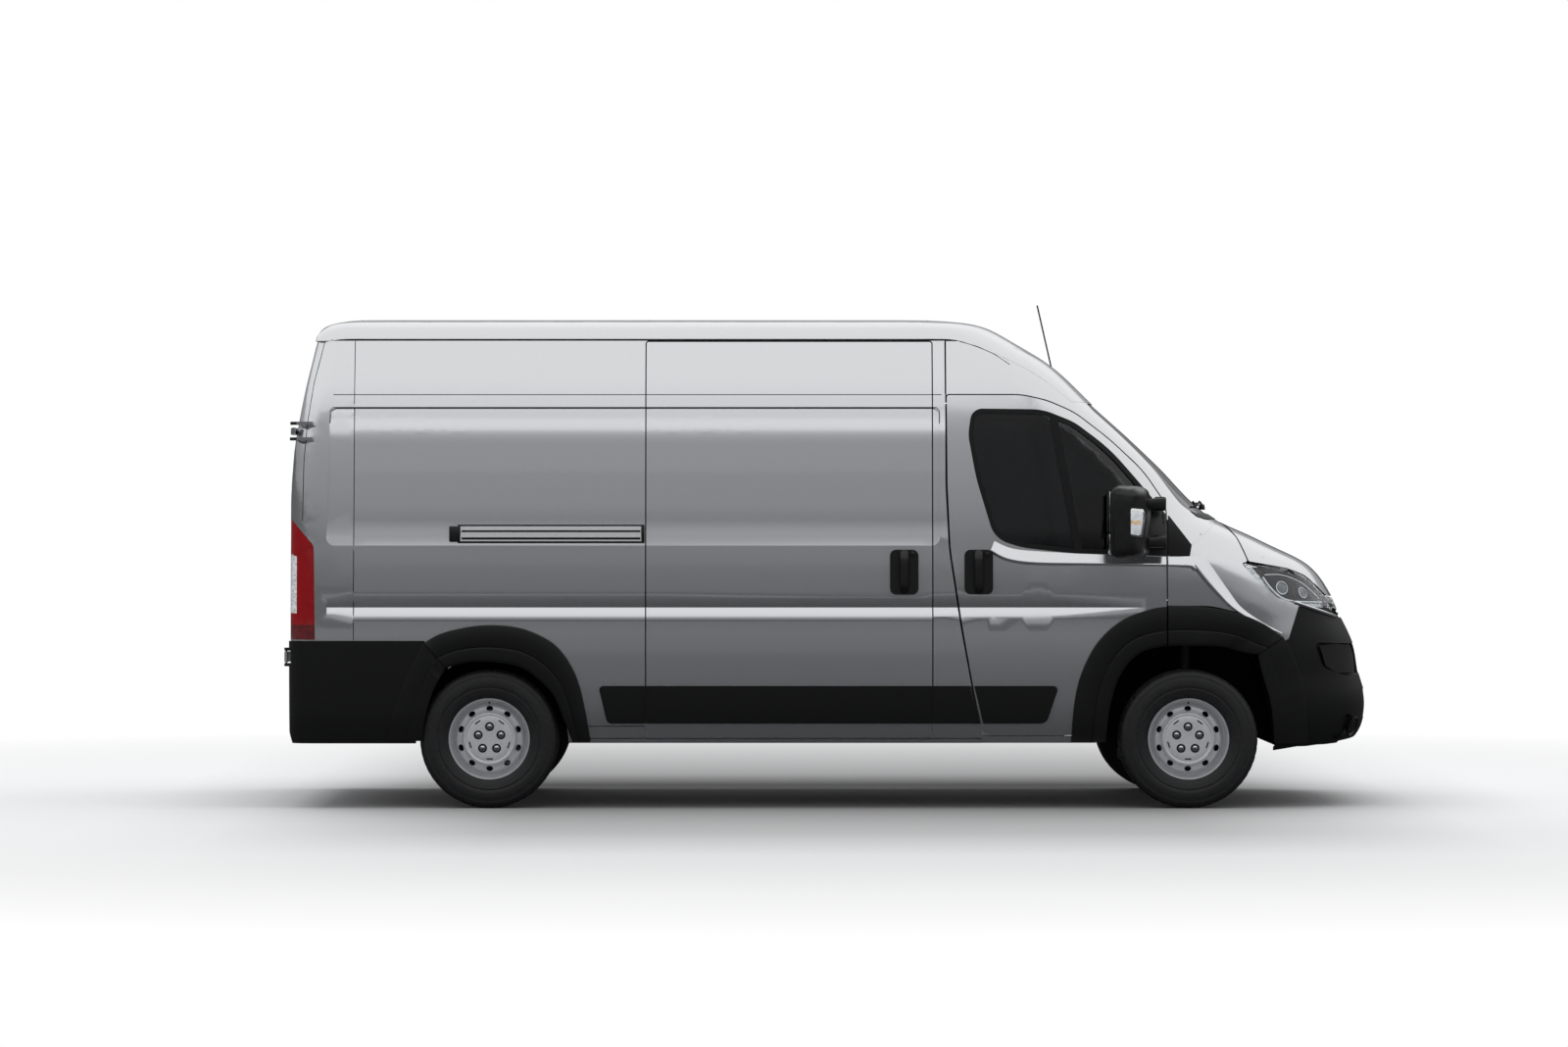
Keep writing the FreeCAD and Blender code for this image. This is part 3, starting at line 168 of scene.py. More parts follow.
# Clear polycarbonate lamp lens
lamp_clear = finish("lamp_clear", "clear_polycarbonate_lens", "#e6e9eb", "#e2e5e7", "#eceef0", 50.0,
                    Roughness=0.03, IOR=1.585, Transmission_Weight=1.0)
# Red acrylic rear lens, and its smoked lower part
lamp_red = finish("lamp_red", "red_acrylic_lens", "#8a0e14", "#860c12", "#901016", 60.0, detail=1.0,
                  Roughness=0.08, IOR=1.49, Coat_Weight=0.5)
dark_red = finish("lamp_red", "smoked_red_lens", "#5a0a0e", "#4c080c", "#680d12", 25.0, detail=1.0,
                  Roughness=0.1, IOR=1.49, Coat_Weight=0.6)
# Zinc-dipped exhaust tube
zinc = finish("galvanised", "zinc_dipped_tube", "#8d8f91", "#838587", "#989a9c", 12.0, (0.42, 0.58), 0.03,
              kind=cells, Metallic=0.9, Roughness=0.5)
# Black of the joints between panels, also used as painted shade: dark sheets and rods put in mouths, gaps and
# along edges that lie in shade
joint_and_shade_black = finish("black_plastic", "joint_black_and_painted_shade", "#0b0b0c", "#090909", "#0f0f10", 30.0,
                   Roughness=0.9)
# Bright plate of bolts and strips, and the machined iron of the brake discs
bright_chrome = finish("rail_silver", "bright_chrome_plate", "#d8dadc", "#d2d4d6", "#dedfe1", 25.0,
                       detail=3.0, Metallic=1.0, Roughness=0.08)
cast_iron = finish("steel_dark", "machined_cast_iron", "#6b6c6d", "#5e5f60", "#777879", 3.0, (0.38, 0.55),
                   0.03, 3.0, Metallic=0.9, Roughness=0.45)
# Lamps: fluted reflector, prismed and plain clear covers, projector glass, repeater bulb; the mirrors' glass
reflector = finish("rail_silver", "satin_metallised_reflector", "#c4c6c8", "#b4b6b8", "#e6e8ea", 16.0,
                   kind=cells, Metallic=0.9, Roughness=0.3)
rear_clear = finish("lamp_clear", "clear_rear_lens", "#d9dbdc", "#c2c5c8", "#eceeef", 14.0, kind=cells,
                    Roughness=0.12, IOR=1.49, Coat_Weight=0.6)
lens_sheet = finish("lamp_clear", "clear_hard_coated_lens", "#eef1f3", "#e9edef", "#f3f5f6", 70.0,
                    Roughness=0.02, IOR=1.35, Transmission_Weight=1.0)
projector_glass = finish("lamp_clear", "projector_lens_glass", "#707478", "#5c6064", "#868a8e", 30.0,
                         detail=1.0, Metallic=0.4, Roughness=0.12, Coat_Weight=0.6)
amber_lens = finish("lamp_clear", "amber_repeater_lens", "#e6c4a0", "#dcb084", "#f0d8bc", 9.0, kind=cells,
                    Roughness=0.1, IOR=1.49, Coat_Weight=0.5)
mirror_silver = finish("dark_glass", "front_silvered_mirror", "#c8ccd0", "#c4c8cc", "#ccd0d4", 80.0,
                       detail=1.0, Metallic=1.0, Roughness=0.02)

# What each slot of the record wears where a CAD node is shown as it is
slot_of_node = {sub["node"]: sub["material_slot"] for sub in frame["record"]["subparts"]}
finishes = {
    "body_paint": silver_lacquer, "black_plastic": grained_black, "dark_glass": tinted_glass,
    "lamp_clear": lamp_clear, "lamp_red": lamp_red, "rail_silver": anodised, "steel_dark": chassis_black,
    "galvanised": zinc, "liner_black": liner_felt, "wheel_silver": wheel_enamel, "tyre": tyre_rubber,
    "seat_cloth": seat_cloth, "cab_grey": cab_plastic,
}


def placed(name, data):
    """New object of a mesh, curve, lamp or camera, in the scene."""
    made = bpy.data.objects.new(name, data)
    bpy.context.scene.collection.objects.link(made)
    return made


def mesh_of(name, bm):
    """Mesh of a bmesh, which it uses up."""
    mesh = bpy.data.meshes.new(name)
    bm.to_mesh(mesh)
    bm.free()
    return mesh


def worked_out(made):
    """New mesh of an object with its modifiers, or its curve, applied."""
    bpy.context.view_layer.update()
    return bpy.data.meshes.new_from_object(made.evaluated_get(bpy.context.evaluated_depsgraph_get()))


def merged(node):
    """A bmesh of a CAD node with its loose triangles joined."""
    bm = bmesh.new()
    bm.from_mesh(nodes[node].data)
    bmesh.ops.remove_doubles(bm, verts=bm.verts, dist=2 * merge_gap)
    return bm


def without(bm, unwanted):
    """bm less the separate solids for which unwanted(low, high) holds."""
    seen = set()
    for start in bm.verts[:]:
        if start in seen:
            continue
        group, rest = [], [start]
        seen.add(start)
        while rest:
            vert = rest.pop()
            group.append(vert)
            for edge in vert.link_edges:
                other = edge.other_vert(vert)
                if other not in seen:
                    seen.add(other)
                    rest.append(other)
        low = Vector([min(v.co[i] for v in group) for i in range(3)])
        high = Vector([max(v.co[i] for v in group) for i in range(3)])
        if unwanted(low, high):
            bmesh.ops.delete(bm, geom=group, context="VERTS")
    return bm


def cut_by(bm, place, normal, drop=False):
    """Cuts bm by a plane and returns the new edges; drop leaves out what lies on the normal's side."""
    cut = bmesh.ops.bisect_plane(bm, geom=bm.verts[:] + bm.edges[:] + bm.faces[:], dist=merge_gap,
                                 plane_co=place, plane_no=normal, clear_outer=drop)
    return [e for e in cut["geom_cut"] if isinstance(e, bmesh.types.BMEdge)]


def sliced(bm, place, normal):
    """bm less what lies on the normal's side of a plane, closed again."""
    bmesh.ops.holes_fill(bm, edges=cut_by(bm, place, normal, True), sides=0)
    return bm


def combined(parts):
    """One bmesh from several, which it uses up."""
    whole = bmesh.new()
    for bm in parts:
        mesh = mesh_of("part", bm)
        whole.from_mesh(mesh)
        bpy.data.meshes.remove(mesh)
    return whole


def piece(name, shape, paint, body="van_body", angle=30.0):
    """Smooth-shaded piece of a bmesh, or of a list, that rides on a body, in the slot of its first finish."""
    bm = combined(shape) if isinstance(shape, list) else shape
    for face in bm.faces:
        face.smooth = True
    limit = math.radians(angle)
    for edge in bm.edges:
        edge.smooth = len(edge.link_faces) == 2 and edge.calc_face_angle(0.0) < limit
    made = placed(name, mesh_of(name, bm))
    paints = paint if isinstance(paint, list) else [paint]
    for one in paints:
        made.data.materials.append(one)
    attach(made, body)
    return made


def round_off(bm, edges, offset, segments=2):
    bmesh.ops.bevel(bm, geom=edges, affect="EDGES", offset=offset, segments=segments, profile=0.5,
                    material=-1)


def block(low, high, bevel=0.003, segments=2):
    """Rounded box between two corners."""
    bm = bmesh.new()
    low, high = Vector(low), Vector(high)
    bmesh.ops.create_cube(bm, size=1.0)
    bmesh.ops.scale(bm, vec=high - low, verts=bm.verts)
    bmesh.ops.translate(bm, vec=(low + high) / 2, verts=bm.verts)
    if bevel > 0:
        round_off(bm, bm.edges[:], bevel, segments)
    return bm


def rod(start, end, radius, end_radius=None, segments=20, bevel=0.0):
    """Round bar between two points."""
    start, end = Vector(start), Vector(end)
    bm = bmesh.new()
    bmesh.ops.create_cone(bm, cap_ends=True, segments=segments, radius1=radius,
                          radius2=radius if end_radius is None else end_radius, depth=(end - start).length)
    if bevel > 0:
        round_off(bm, [e for e in bm.edges if len(e.link_faces) == 2 and e.calc_face_angle(0) > 1.0], bevel)
    turn = (end - start).to_track_quat("Z", "Y").to_matrix().to_4x4()
    bmesh.ops.transform(bm, matrix=Matrix.Translation((start + end) / 2) @ turn, verts=bm.verts)
    return bm


def turned(profile, steps):
    """Ring turned about the wheel's axis from (radius, outward) points in millimetres."""
    bm = bmesh.new()
    verts = [bm.verts.new((0.0, v / 1000, r / 1000)) for r, v in profile]
    edges = [bm.edges.new(pair) for pair in zip(verts, verts[1:] + verts[:1])]
    bmesh.ops.spin(bm, geom=verts + edges, cent=(0, 0, 0), axis=(0, 1, 0), angle=math.tau, steps=steps,
                   use_merge=True)
    bmesh.ops.remove_doubles(bm, verts=bm.verts, dist=merge_gap)
    bmesh.ops.recalc_face_normals(bm, faces=bm.faces)
    return bm


def set_at(bm, place, out):
    """bm, made about Y, set at a place and facing out."""
    turn = out.to_track_quat("Y", "Z").to_matrix().to_4x4()
    bmesh.ops.transform(bm, matrix=Matrix.Translation(place) @ turn, verts=bm.verts)
    return bm


def carved(bm, cutter):
    """bm with the cutter's volume taken away."""
    whole, knife = (placed("carving", mesh_of("carving", source)) for source in (bm, cutter))
    change = whole.modifiers.new("cut", "BOOLEAN")
    change.operation = "DIFFERENCE"
    change.solver = "EXACT"
    change.object = knife
    result = bmesh.new()
    result.from_mesh(worked_out(whole))
    for made in (whole, knife):
        mesh = made.data
        bpy.data.objects.remove(made)
        bpy.data.meshes.remove(mesh)
    return result


def deepened(bm, step):
    """Sheet drawn out by a step into a closed solid."""
    made = bmesh.ops.extrude_face_region(bm, geom=bm.faces[:])
    bmesh.ops.translate(bm, vec=step, verts=[v for v in made["geom"] if isinstance(v, bmesh.types.BMVert)])
    bmesh.ops.recalc_face_normals(bm, faces=bm.faces)
    return bm


def outlined(points, low, high, bevel=0.0, plane="xz"):
    """Plate with an outline in side (xz), front (yz) or plan (xy) view, between two places across it."""
    bm = bmesh.new()
    order = {"xz": lambda u, v: (u, low, v), "yz": lambda u, v: (low, u, v),
             "xy": lambda u, v: (u, v, low)}[plane]
    step = {"xz": (0, high - low, 0), "yz": (high - low, 0, 0), "xy": (0, 0, high - low)}[plane]
    bm.faces.new([bm.verts.new(order(u, v)) for u, v in points])
    deepened(bm, step)
    if bevel > 0:
        round_off(bm, bm.edges[:], bevel)
    return bm


def other_side(bm):
    """Copy mirrored across the van's middle."""
    twin = bm.copy()
    bmesh.ops.scale(twin, vec=(1, -1, 1), verts=twin.verts)
    bmesh.ops.reverse_faces(twin, faces=twin.faces)
    return twin


def tube(points, radius, sides=4, smooth=True):
    """Round bead along a line of points; those that are None are left out."""
    points = [point for point in points if point is not None]
    curve = bpy.data.curves.new("bead", "CURVE")
    curve.dimensions = "3D"
    curve.bevel_depth = radius
    curve.bevel_resolution = sides
    curve.use_fill_caps = True
    line = curve.splines.new("NURBS" if smooth else "POLY")
    line.points.add(len(points) - 1)
    for spot, point in zip(line.points, points):
        spot.co = (*point, 1.0)
    if smooth:
        line.order_u = 3
        line.use_endpoint_u = True
    made = placed("bead", curve)
    bm = bmesh.new()
    bm.from_mesh(worked_out(made))
    bpy.data.objects.remove(made)
    bpy.data.curves.remove(curve)
    return bm


def skin_of(*names):
    """Searchable outside of some CAD nodes."""
    whole = combined([merged(name) for name in names])
    tree = BVHTree.FromBMesh(whole)
    whole.free()
    return tree


def on_side(skin, x, z, proud=0.0, side=-1):
    """Point on the body's side at a place along it and a height, some way out from the skin."""
    hit = skin.ray_cast(Vector((x, side * outside_y, z)), Vector((0, -side, 0)))[0]
    return Vector((x, hit.y + side * proud, z)) if hit else None


def on_front(skin, y, z, proud=0.0):
    """Point on the van's front at a place across it and a height."""
    hit = skin.ray_cast(Vector((ahead_x, y, z)), Vector((-1, 0, 0)))[0]
    return Vector((hit.x + proud, y, z)) if hit else None


def seam(skin, path, radius=0.0022, side=-1, sunk=0.0006, step=0.06):
    """Dark joint line that follows the skin through a few (x, z) points."""
    line = []
    for (x0, z0), (x1, z1) in zip(path, path[1:]):
        count = max(1, int(math.hypot(x1 - x0, z1 - z0) / step))
        line += [(x0 + (x1 - x0) * i / count, z0 + (z1 - z0) * i / count) for i in range(count)]
    line.append(path[-1])
    return tube([on_side(skin, x, z, -sunk, side) for x, z in line], radius, 2, False)


# The long side panels: their facets are cut level, and shaded by the slope that the side has at each height
smooth_heights = ((0.620, 0.920), (1.070, 1.262), (1.340, 1.968), (1.990, 2.290))
half_window = 0.02  # each way from a height, where its slope is measured


def slopes(skin, side, low, high, step=0.01):
    """Lean of the side at each height, as (height, angle), the median over its length."""
    found = []
    for i in range(int((high - low) / step) + 1):
        z = low + i * step
        leans = []
        for k in range(24):
            x = -2.25 + 0.115 * k
            below, above = (on_side(skin, x, z + way * half_window, 0.0, side) for way in (-1, 1))
            if below and above:
                leans.append(math.atan2(abs(below.y) - abs(above.y), 2 * half_window))
        if leans and any(first + 0.022 <= z <= last - 0.022 for first, last in smooth_heights):
            found.append((z, sorted(leans)[len(leans) // 2]))
    return found


def level_cut(bm, step=0.02):
    """bm with level edges in the smooth heights."""
    for low, high in smooth_heights:
        for i in range(int((high - low) / step) + 1):
            cut_by(bm, (0, 0, low + step * i), (0, 0, 1))
    return bm


def shade_by_height(mesh, table):
    """Gives the outer faces of a side panel the normals of a slope table."""
    normals = [(0.0, 0.0, 0.0)] * len(mesh.loops)
    for face in mesh.polygons:
        if abs(face.normal.y) < 0.93 or face.normal.y * face.center.y < 0:
            continue
        for k in face.loop_indices:
            z = mesh.vertices[mesh.loops[k].vertex_index].co.z
            if any(low - 0.001 <= z <= high + 0.001 for low, high in smooth_heights):
                lean = min(table, key=lambda row: abs(row[0] - z))[1]
                normals[k] = (0.0, math.copysign(math.cos(lean), face.center.y), math.sin(lean))
    mesh.normals_split_custom_set(normals)


panels = {"side_wall_right": -1, "sliding_door": -1, "side_wall_left": 1}
lean_tables = {side: slopes(skin_of(*[name for name in panels if panels[name] == side]), side, 0.60, 2.30)
               for side in (-1, 1)}

# Every CAD node gets the finish of its slot. Most are shown by a smooth-shaded copy; the rest are remade
remade = ("tyre_", "rim_", "door_mirror", "headlamps", "tail_lamps", "seats", "steering_wheel", "dashboard",
          "fuel_tank")
slices = {  # planes beyond which a copy ends
    "rear_bumper": [((0, 0, 0.320), (0, 0, -1)), ((-2.696, 0, 0.412), (-0.949, 0, -0.316))],
    "rear_hinge_pins": [((-2.706, 0, 0.791), (-1, 0, 0.0293))],
    "front_bumper": [((2.208, 0, 0.283), (0.124, 0, -1))],
}
for node, shown in nodes.items():
    paints = [finishes[slot_of_node[node]]]
    shown.data.materials.clear()
    shown.data.materials.append(paints[0])
    if node.startswith(remade):
        continue
    shape = merged(node)
    if node == "body_mouldings" or node.startswith("front_door_trim"):
        shape = without(shape, lambda low, high: high.z - low.z > 0.3)
    for place, normal in slices.get(node, []):
        shape = sliced(shape, place, normal)
    if node.startswith("rear_door_"):
        low_y, high_y = (-0.94, -0.80) if node.endswith("right") else (0.80, 0.94)
        strap = block((-2.674, low_y, 1.842), (-2.650, high_y, 1.878))
        shape = combined([without(shape, lambda low, high: low.z > 1.8 and high.z < 1.95), strap])
    if node in panels:
        shape = level_cut(shape)
    if node == "rear_hinge_pins":
        paints.append(silver_lacquer)
        for face in shape.faces:
            middle = face.calc_center_median()
            face.material_index = int(middle.z > 1.7 and middle.x > -2.655)
    copy = piece(node + "_skin", shape, paints, body_of_node[node], 22.0)
    if node in panels:
        shade_by_height(copy.data, lean_tables[panels[node]])
    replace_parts(copy, node)

# Wheels: pressed steel rims with ten vents and a five-bolt cover, tyres with a moulded sidewall and tread
rim_profile = [(120, 40), (128, 34), (134, 30), (142, 31), (152, 31), (160, 27), (167, 16), (173, -2),
               (180, -10), (187, -4), (191, 24), (194, 60), (198, 78), (204, 86), (208, 88), (210, 84),
               (204, 80), (198, 58), (195, 20), (195, -60), (200, -84), (204, -88), (197, -90), (190, -78),
               (186, -50), (180, -20), (171, -14), (163, 4), (155, 18), (140, 22), (120, 26)]
cover_profile = [(0.001, 50), (30, 52), (60, 52), (84, 54), (104, 53), (113, 51), (117, 55), (121, 58),
                 (127, 57), (131, 51), (131, 42), (100, 36), (0.001, 36)]
sidewall = [(200, 84), (207, 92), (214, 97), (226, 101), (240, 104.5), (245, 106), (248, 106), (250, 104.4),
            (253, 104.4), (255, 106), (270, 107.2), (286, 107), (300, 105), (309, 102), (313, 103),
            (317, 101.5)]
half_tread = [(325, 98), (333, 91), (338.5, 82), (341.3, 70), (341.5, 60), (341.5, 57), (334, 56), (334, 50),
              (341.5, 49), (341.5, 26), (334, 25), (334, 18), (341.5, 17)]
inner_wall = [(309, -102), (286, -107), (255, -106), (226, -101), (207, -92), (200, -84)]
tyre_profile = sidewall + half_tread + [(r, -v) for r, v in half_tread[::-1]] + inner_wall
tyre_steps = 144
groove_depth = 0.006


def set_on_axle(bm, x, y):
    """Moves a wheel piece, made facing the vehicle's left, to its axle."""
    if y < 0:
        bmesh.ops.rotate(bm, matrix=Matrix.Rotation(math.pi, 3, "Z"), verts=bm.verts)
    bmesh.ops.translate(bm, vec=(x, y, wheel_radius), verts=bm.verts)
    return bm


def made_tyre():
    """Tyre with cross grooves sunk into its shoulders and its tread."""
    bm = turned(tyre_profile, tyre_steps)
    grooves = []
    for face in bm.faces:
        middle = face.calc_center_median()
        radius = math.hypot(middle.x, middle.z)
        turn = int((math.atan2(middle.x, middle.z) / math.tau % 1.0) * tyre_steps)
        shoulder = 0.057 < abs(middle.y) < 0.093 and radius > 0.330
        tread = 0.016 < abs(middle.y) < 0.048 and radius > 0.3412
        if (shoulder and turn % 3 == 0) or (tread and turn % 4 == (0 if middle.y > 0 else 2)):
            grooves.append(face)
    made = bmesh.ops.extrude_face_region(bm, geom=grooves)
    for vert in [v for v in made["geom"] if isinstance(v, bmesh.types.BMVert)]:
        radius = math.hypot(vert.co.x, vert.co.z)
        vert.co.x *= (radius - groove_depth) / radius
        vert.co.z *= (radius - groove_depth) / radius
    bmesh.ops.delete(bm, geom=grooves, context="FACES")
    return bm


def around(count, radius, make, first=0.0):
    """Copies of what make() gives at even turns about the wheel's axis."""
    parts = []
    for i in range(count):
        bm = make()
        bmesh.ops.translate(bm, vec=(0, 0, radius), verts=bm.verts)
        bmesh.ops.rotate(bm, matrix=Matrix.Rotation(first + math.tau * i / count, 3, "Y"), verts=bm.verts)
        parts.append(bm)
    return combined(parts)


def vent():
    bm = rod((0, -0.02, 0), (0, 0.08, 0), 0.0155)
    bmesh.ops.scale(bm, vec=(1.1, 1, 0.84), verts=bm.verts)
    return bm


def bolt_pocket():
    return rod((0, 0.020, 0), (0, 0.08, 0), 0.0200, 0.0252, 24)


def slit():
    return block((-0.017, 0.020, -0.0035), (0.017, 0.08, 0.0035))


def bolt():
    head = rod((0, 0.040, 0), (0, 0.0515, 0), 0.0135, segments=6, bevel=0.0012)
    return combined([head, rod((0, 0.040, 0), (0, 0.0465, 0), 0.0165, 0.0145)])


bolt_circle = 0.059
rim = carved(turned(rim_profile, 96), around(10, 0.1480, vent))
cover = carved(turned(cover_profile, 90), around(5, bolt_circle, bolt_pocket))
wheel_parts = {
    "tyre": (made_tyre(), tyre_rubber),
    "rim": (rim, wheel_enamel),
    "wheel_cover": (carved(cover, around(5, 0.100, slit, math.tau / 10)), wheel_enamel),
    "wheel_bolts": (around(5, bolt_circle, bolt), bright_chrome),
    "tyre_valve": (rod((0, 0.060, 0.176), (0, 0.083, 0.181), 0.0042, 0.0035, 12), seal_rubber),
    "wheel_hub": (turned([(0.001, 34), (112, 30), (112, 24), (0.001, 24)], 48), chassis_black),
    "brake_disc": (turned([(40, 22), (75, 24), (78, 4), (142, 4), (142, -16), (78, -16), (60, -2), (40, -2)],
                          72), cast_iron),
}
for corner, x, y in (("front_left", front_axle_x, front_wheel_y),
                     ("front_right", front_axle_x, -front_wheel_y),
                     ("rear_left", rear_axle_x, rear_wheel_y), ("rear_right", rear_axle_x, -rear_wheel_y)):
    for name, (master, paint) in wheel_parts.items():
        made = piece(name + "_of_" + corner, set_on_axle(master.copy(), x, y), paint,
                     "wheel_" + corner, 35.0)
        if name in ("tyre", "rim"):
            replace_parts(made, name + "_" + corner)


def curve_through(points, count):
    """Even samples of a smooth curve through a few (x, z) points."""
    ends = [points[0]] + list(points) + [points[-1]]
    path = []
    for a, b, c, d in zip(ends, ends[1:], ends[2:], ends[3:]):
        for i in range(12):
            t = i / 12
            path.append([0.5 * (2 * b[k] + (c[k] - a[k]) * t + (2 * a[k] - 5 * b[k] + 4 * c[k] - d[k]) * t * t
                                + (3 * b[k] - a[k] - 3 * c[k] + d[k]) * t ** 3) for k in (0, 1)])
    path.append(list(points[-1]))
    gone = [0.0]
    for a, b in zip(path, path[1:]):
        gone.append(gone[-1] + math.hypot(b[0] - a[0], b[1] - a[1]))
    samples = []
    for i in range(count):
        aim = gone[-1] * i / (count - 1)
        k = min(max(1, sum(1 for g in gone if g < aim)), len(path) - 1)
        t = (aim - gone[k - 1]) / max(gone[k] - gone[k - 1], 1e-9)
        samples.append([path[k - 1][j] + (path[k][j] - path[k - 1][j]) * t for j in (0, 1)])
    return samples


def lofted(bm, rows):
    """Solid through rows of vertices, each of them a loop."""
    for a, b in zip(rows, rows[1:]):
        for i in range(len(a)):
            j = (i + 1) % len(a)
            bm.faces.new((a[i], a[j], b[j], b[i]))
    bm.faces.new(rows[0])
    bm.faces.new(rows[-1][::-1])
    bmesh.ops.recalc_face_normals(bm, faces=bm.faces)
    return bm


def band(skin, lines, section, side, proud=None, count=40):
    """Band between an outer and an inner line, standing out from the skin by a section of (part of the width,
    rise in mm). Without a value for proud, it rises less where it is narrow."""
    bm = bmesh.new()
    rows = []
    for (xo, zo), (xi, zi) in zip(curve_through(lines[0], count), curve_through(lines[1], count)):
        swell = proud or min(1.0, math.hypot(xi - xo, zi - zo) / 0.05)
        row = []
        for part, rise in section:
            x, z = xo + (xi - xo) * part, zo + (zi - zo) * part
            near = skin.find_nearest(Vector((x, side * near_side_y, z)))[0]
            row.append(bm.verts.new(
                (x, side * (abs(near.y) + (rise * swell if rise > 0 else rise) / 1000), z)))
        rows.append(row)
    return lofted(bm, rows)


# Arch trims: a flared band with a lip, from an outer and an inner line in side view
arch_section = [(0.0, -2), (0.0, 6), (0.015, 10.5), (0.05, 13), (0.3, 15), (0.60, 15.5), (0.625, 14),
                (0.64, 11.5), (0.66, 14), (0.69, 14.5), (0.97, 14), (1.03, 12), (1.06, 8), (1.06, -62),
                (1.04, -62), (0.96, -2)]
rear_arch = ([(-1.190, 0.327), (-1.200, 0.391), (-1.218, 0.492), (-1.248, 0.618), (-1.294, 0.719),
              (-1.357, 0.800), (-1.433, 0.850), (-1.534, 0.889), (-1.660, 0.904), (-1.786, 0.896),
              (-1.925, 0.863), (-2.008, 0.818)],
             [(-1.276, 0.327), (-1.315, 0.438), (-1.377, 0.578), (-1.508, 0.694), (-1.640, 0.729),
              (-1.790, 0.731), (-1.909, 0.700)])
rear_arch_tail = ([(-2.010, 0.816), (-2.080, 0.680), (-2.150, 0.500), (-2.196, 0.332)],
                  [(-1.911, 0.699), (-1.970, 0.590), (-2.012, 0.460), (-2.034, 0.332)])
front_arch = ([(1.178, 0.327), (1.193, 0.517), (1.229, 0.670), (1.309, 0.822), (1.425, 0.926),
               (1.555, 0.978), (1.657, 0.995), (1.811, 0.995), (1.976, 0.969), (2.116, 0.916),
               (2.226, 0.845)],
              [(1.338, 0.327), (1.362, 0.517), (1.415, 0.670), (1.505, 0.771), (1.623, 0.808),
               (1.770, 0.812), (1.925, 0.806), (2.034, 0.775), (2.105, 0.762)])
front_arch_nose = ([(2.229, 0.842), (2.300, 0.700), (2.338, 0.560), (2.350, 0.400), (2.352, 0.318)],
                   [(2.108, 0.760), (2.130, 0.670), (2.172, 0.529), (2.188, 0.400), (2.194, 0.318)])
# Creases of the door and wing: a ledge under the window that runs on as a fold to the bumper's corner
ledge_section = [(0.0, -1.5), (0.0, 0.3), (0.25, 3.5), (0.55, 9), (0.8, 14), (0.93, 16), (1.0, 15),
                 (1.06, 9), (1.16, 0.3), (1.16, -1.5)]
door_ledge = ([(0.800, 1.318), (0.880, 1.283), (1.000, 1.268), (1.300, 1.252), (1.646, 1.240)],
              [(0.780, 1.270), (0.860, 1.228), (1.000, 1.208), (1.300, 1.204), (1.646, 1.198)])
wing_ledge = ([(1.656, 1.240), (1.720, 1.240), (1.775, 1.246), (1.830, 1.236)],
              [(1.656, 1.198), (1.720, 1.196), (1.768, 1.192), (1.786, 1.176)])
wing_fold = ([(1.822, 1.262), (1.885, 1.172), (1.953, 1.074), (2.016, 0.992), (2.115, 0.922), (2.222, 0.866)],
             [(1.784, 1.196), (1.842, 1.122), (1.911, 1.046), (1.974, 0.986), (2.090, 0.917), (2.220, 0.860)])
sides = (("right", -1), ("left", 1))
for name, side in sides:
    flank = skin_of("side_wall_" + name, "front_door_" + name, "front_wings", "rear_frame", "front_bumper",
                    "rear_bumper")
    rear = band(flank, rear_arch, arch_section, side, 1.0, 64)
    nose, tail = (band(flank, lines, arch_section, side, 0.35, 32)
                  for lines in (front_arch_nose, rear_arch_tail))
    front = band(flank, front_arch, arch_section, side, 1.0, 80)
    on_door = sliced(front.copy(), (door_front_x, 0, 0), (1, 0, 0))
    on_wing = sliced(front, (wing_back_x, 0, 0), (-1, 0, 0))
    piece("arch_trims_" + name, [rear, nose, tail, on_wing], grained_black, angle=40)
    piece("door_arch_trim_" + name, on_door, grained_black, "door_" + name, 40)
for name, side in sides:
    flank = skin_of("front_door_" + name, "front_wings", "cab_frame")
    ledge = band(flank, door_ledge, ledge_section, side)
    piece("door_window_ledge_" + name, ledge, silver_lacquer, "door_" + name, 60)
    piece("wing_crease_" + name,
          [band(flank, lines, ledge_section, side) for lines in (wing_ledge, wing_fold)],
          silver_lacquer, angle=60)


def patch(skin, points, rise, side, depth, step=0.03):
    """Thin shape that lies on the skin, cut from an outline in side view."""
    bm = bmesh.new()
    bm.faces.new([bm.verts.new((x, 0, z)) for x, z in points])
    for axis, normal in ((0, Vector((1, 0, 0))), (2, Vector((0, 0, 1)))):
        low, high = min(v.co[axis] for v in bm.verts), max(v.co[axis] for v in bm.verts)
        for i in range(1, int((high - low) / step) + 1):
            cut_by(bm, normal * (low + i * step), normal)
    for vert in bm.verts:
        hit = (on_side(skin, vert.co.x, vert.co.z, 0.0, side)
               or skin.find_nearest(Vector((vert.co.x, side * near_side_y, vert.co.z)))[0])
        vert.co.y = hit.y + side * rise
    return deepened(bm, (0, -side * depth, 0))


base_outline = [(1.552, 1.246), (door_front_x, 1.243), (door_front_x, 1.452), (1.620, 1.482), (1.552, 1.552)]
mirror_arm_heights = (1.312, 1.500)
for name, side in sides:
    corner_skin = skin_of("front_door_" + name, "window_trim_" + name)
    low_y, high_y = sorted((side * 1.040, side * 0.985))
    feet = [block((1.585, low_y, z - 0.034), (1.645, high_y, z + 0.036), 0.012, 3)
            for z in mirror_arm_heights]
    piece("mirror_base_" + name, [patch(corner_skin, base_outline, 0.0035, side, 0.006)] + feet,
          smooth_black, "door_" + name, 35)


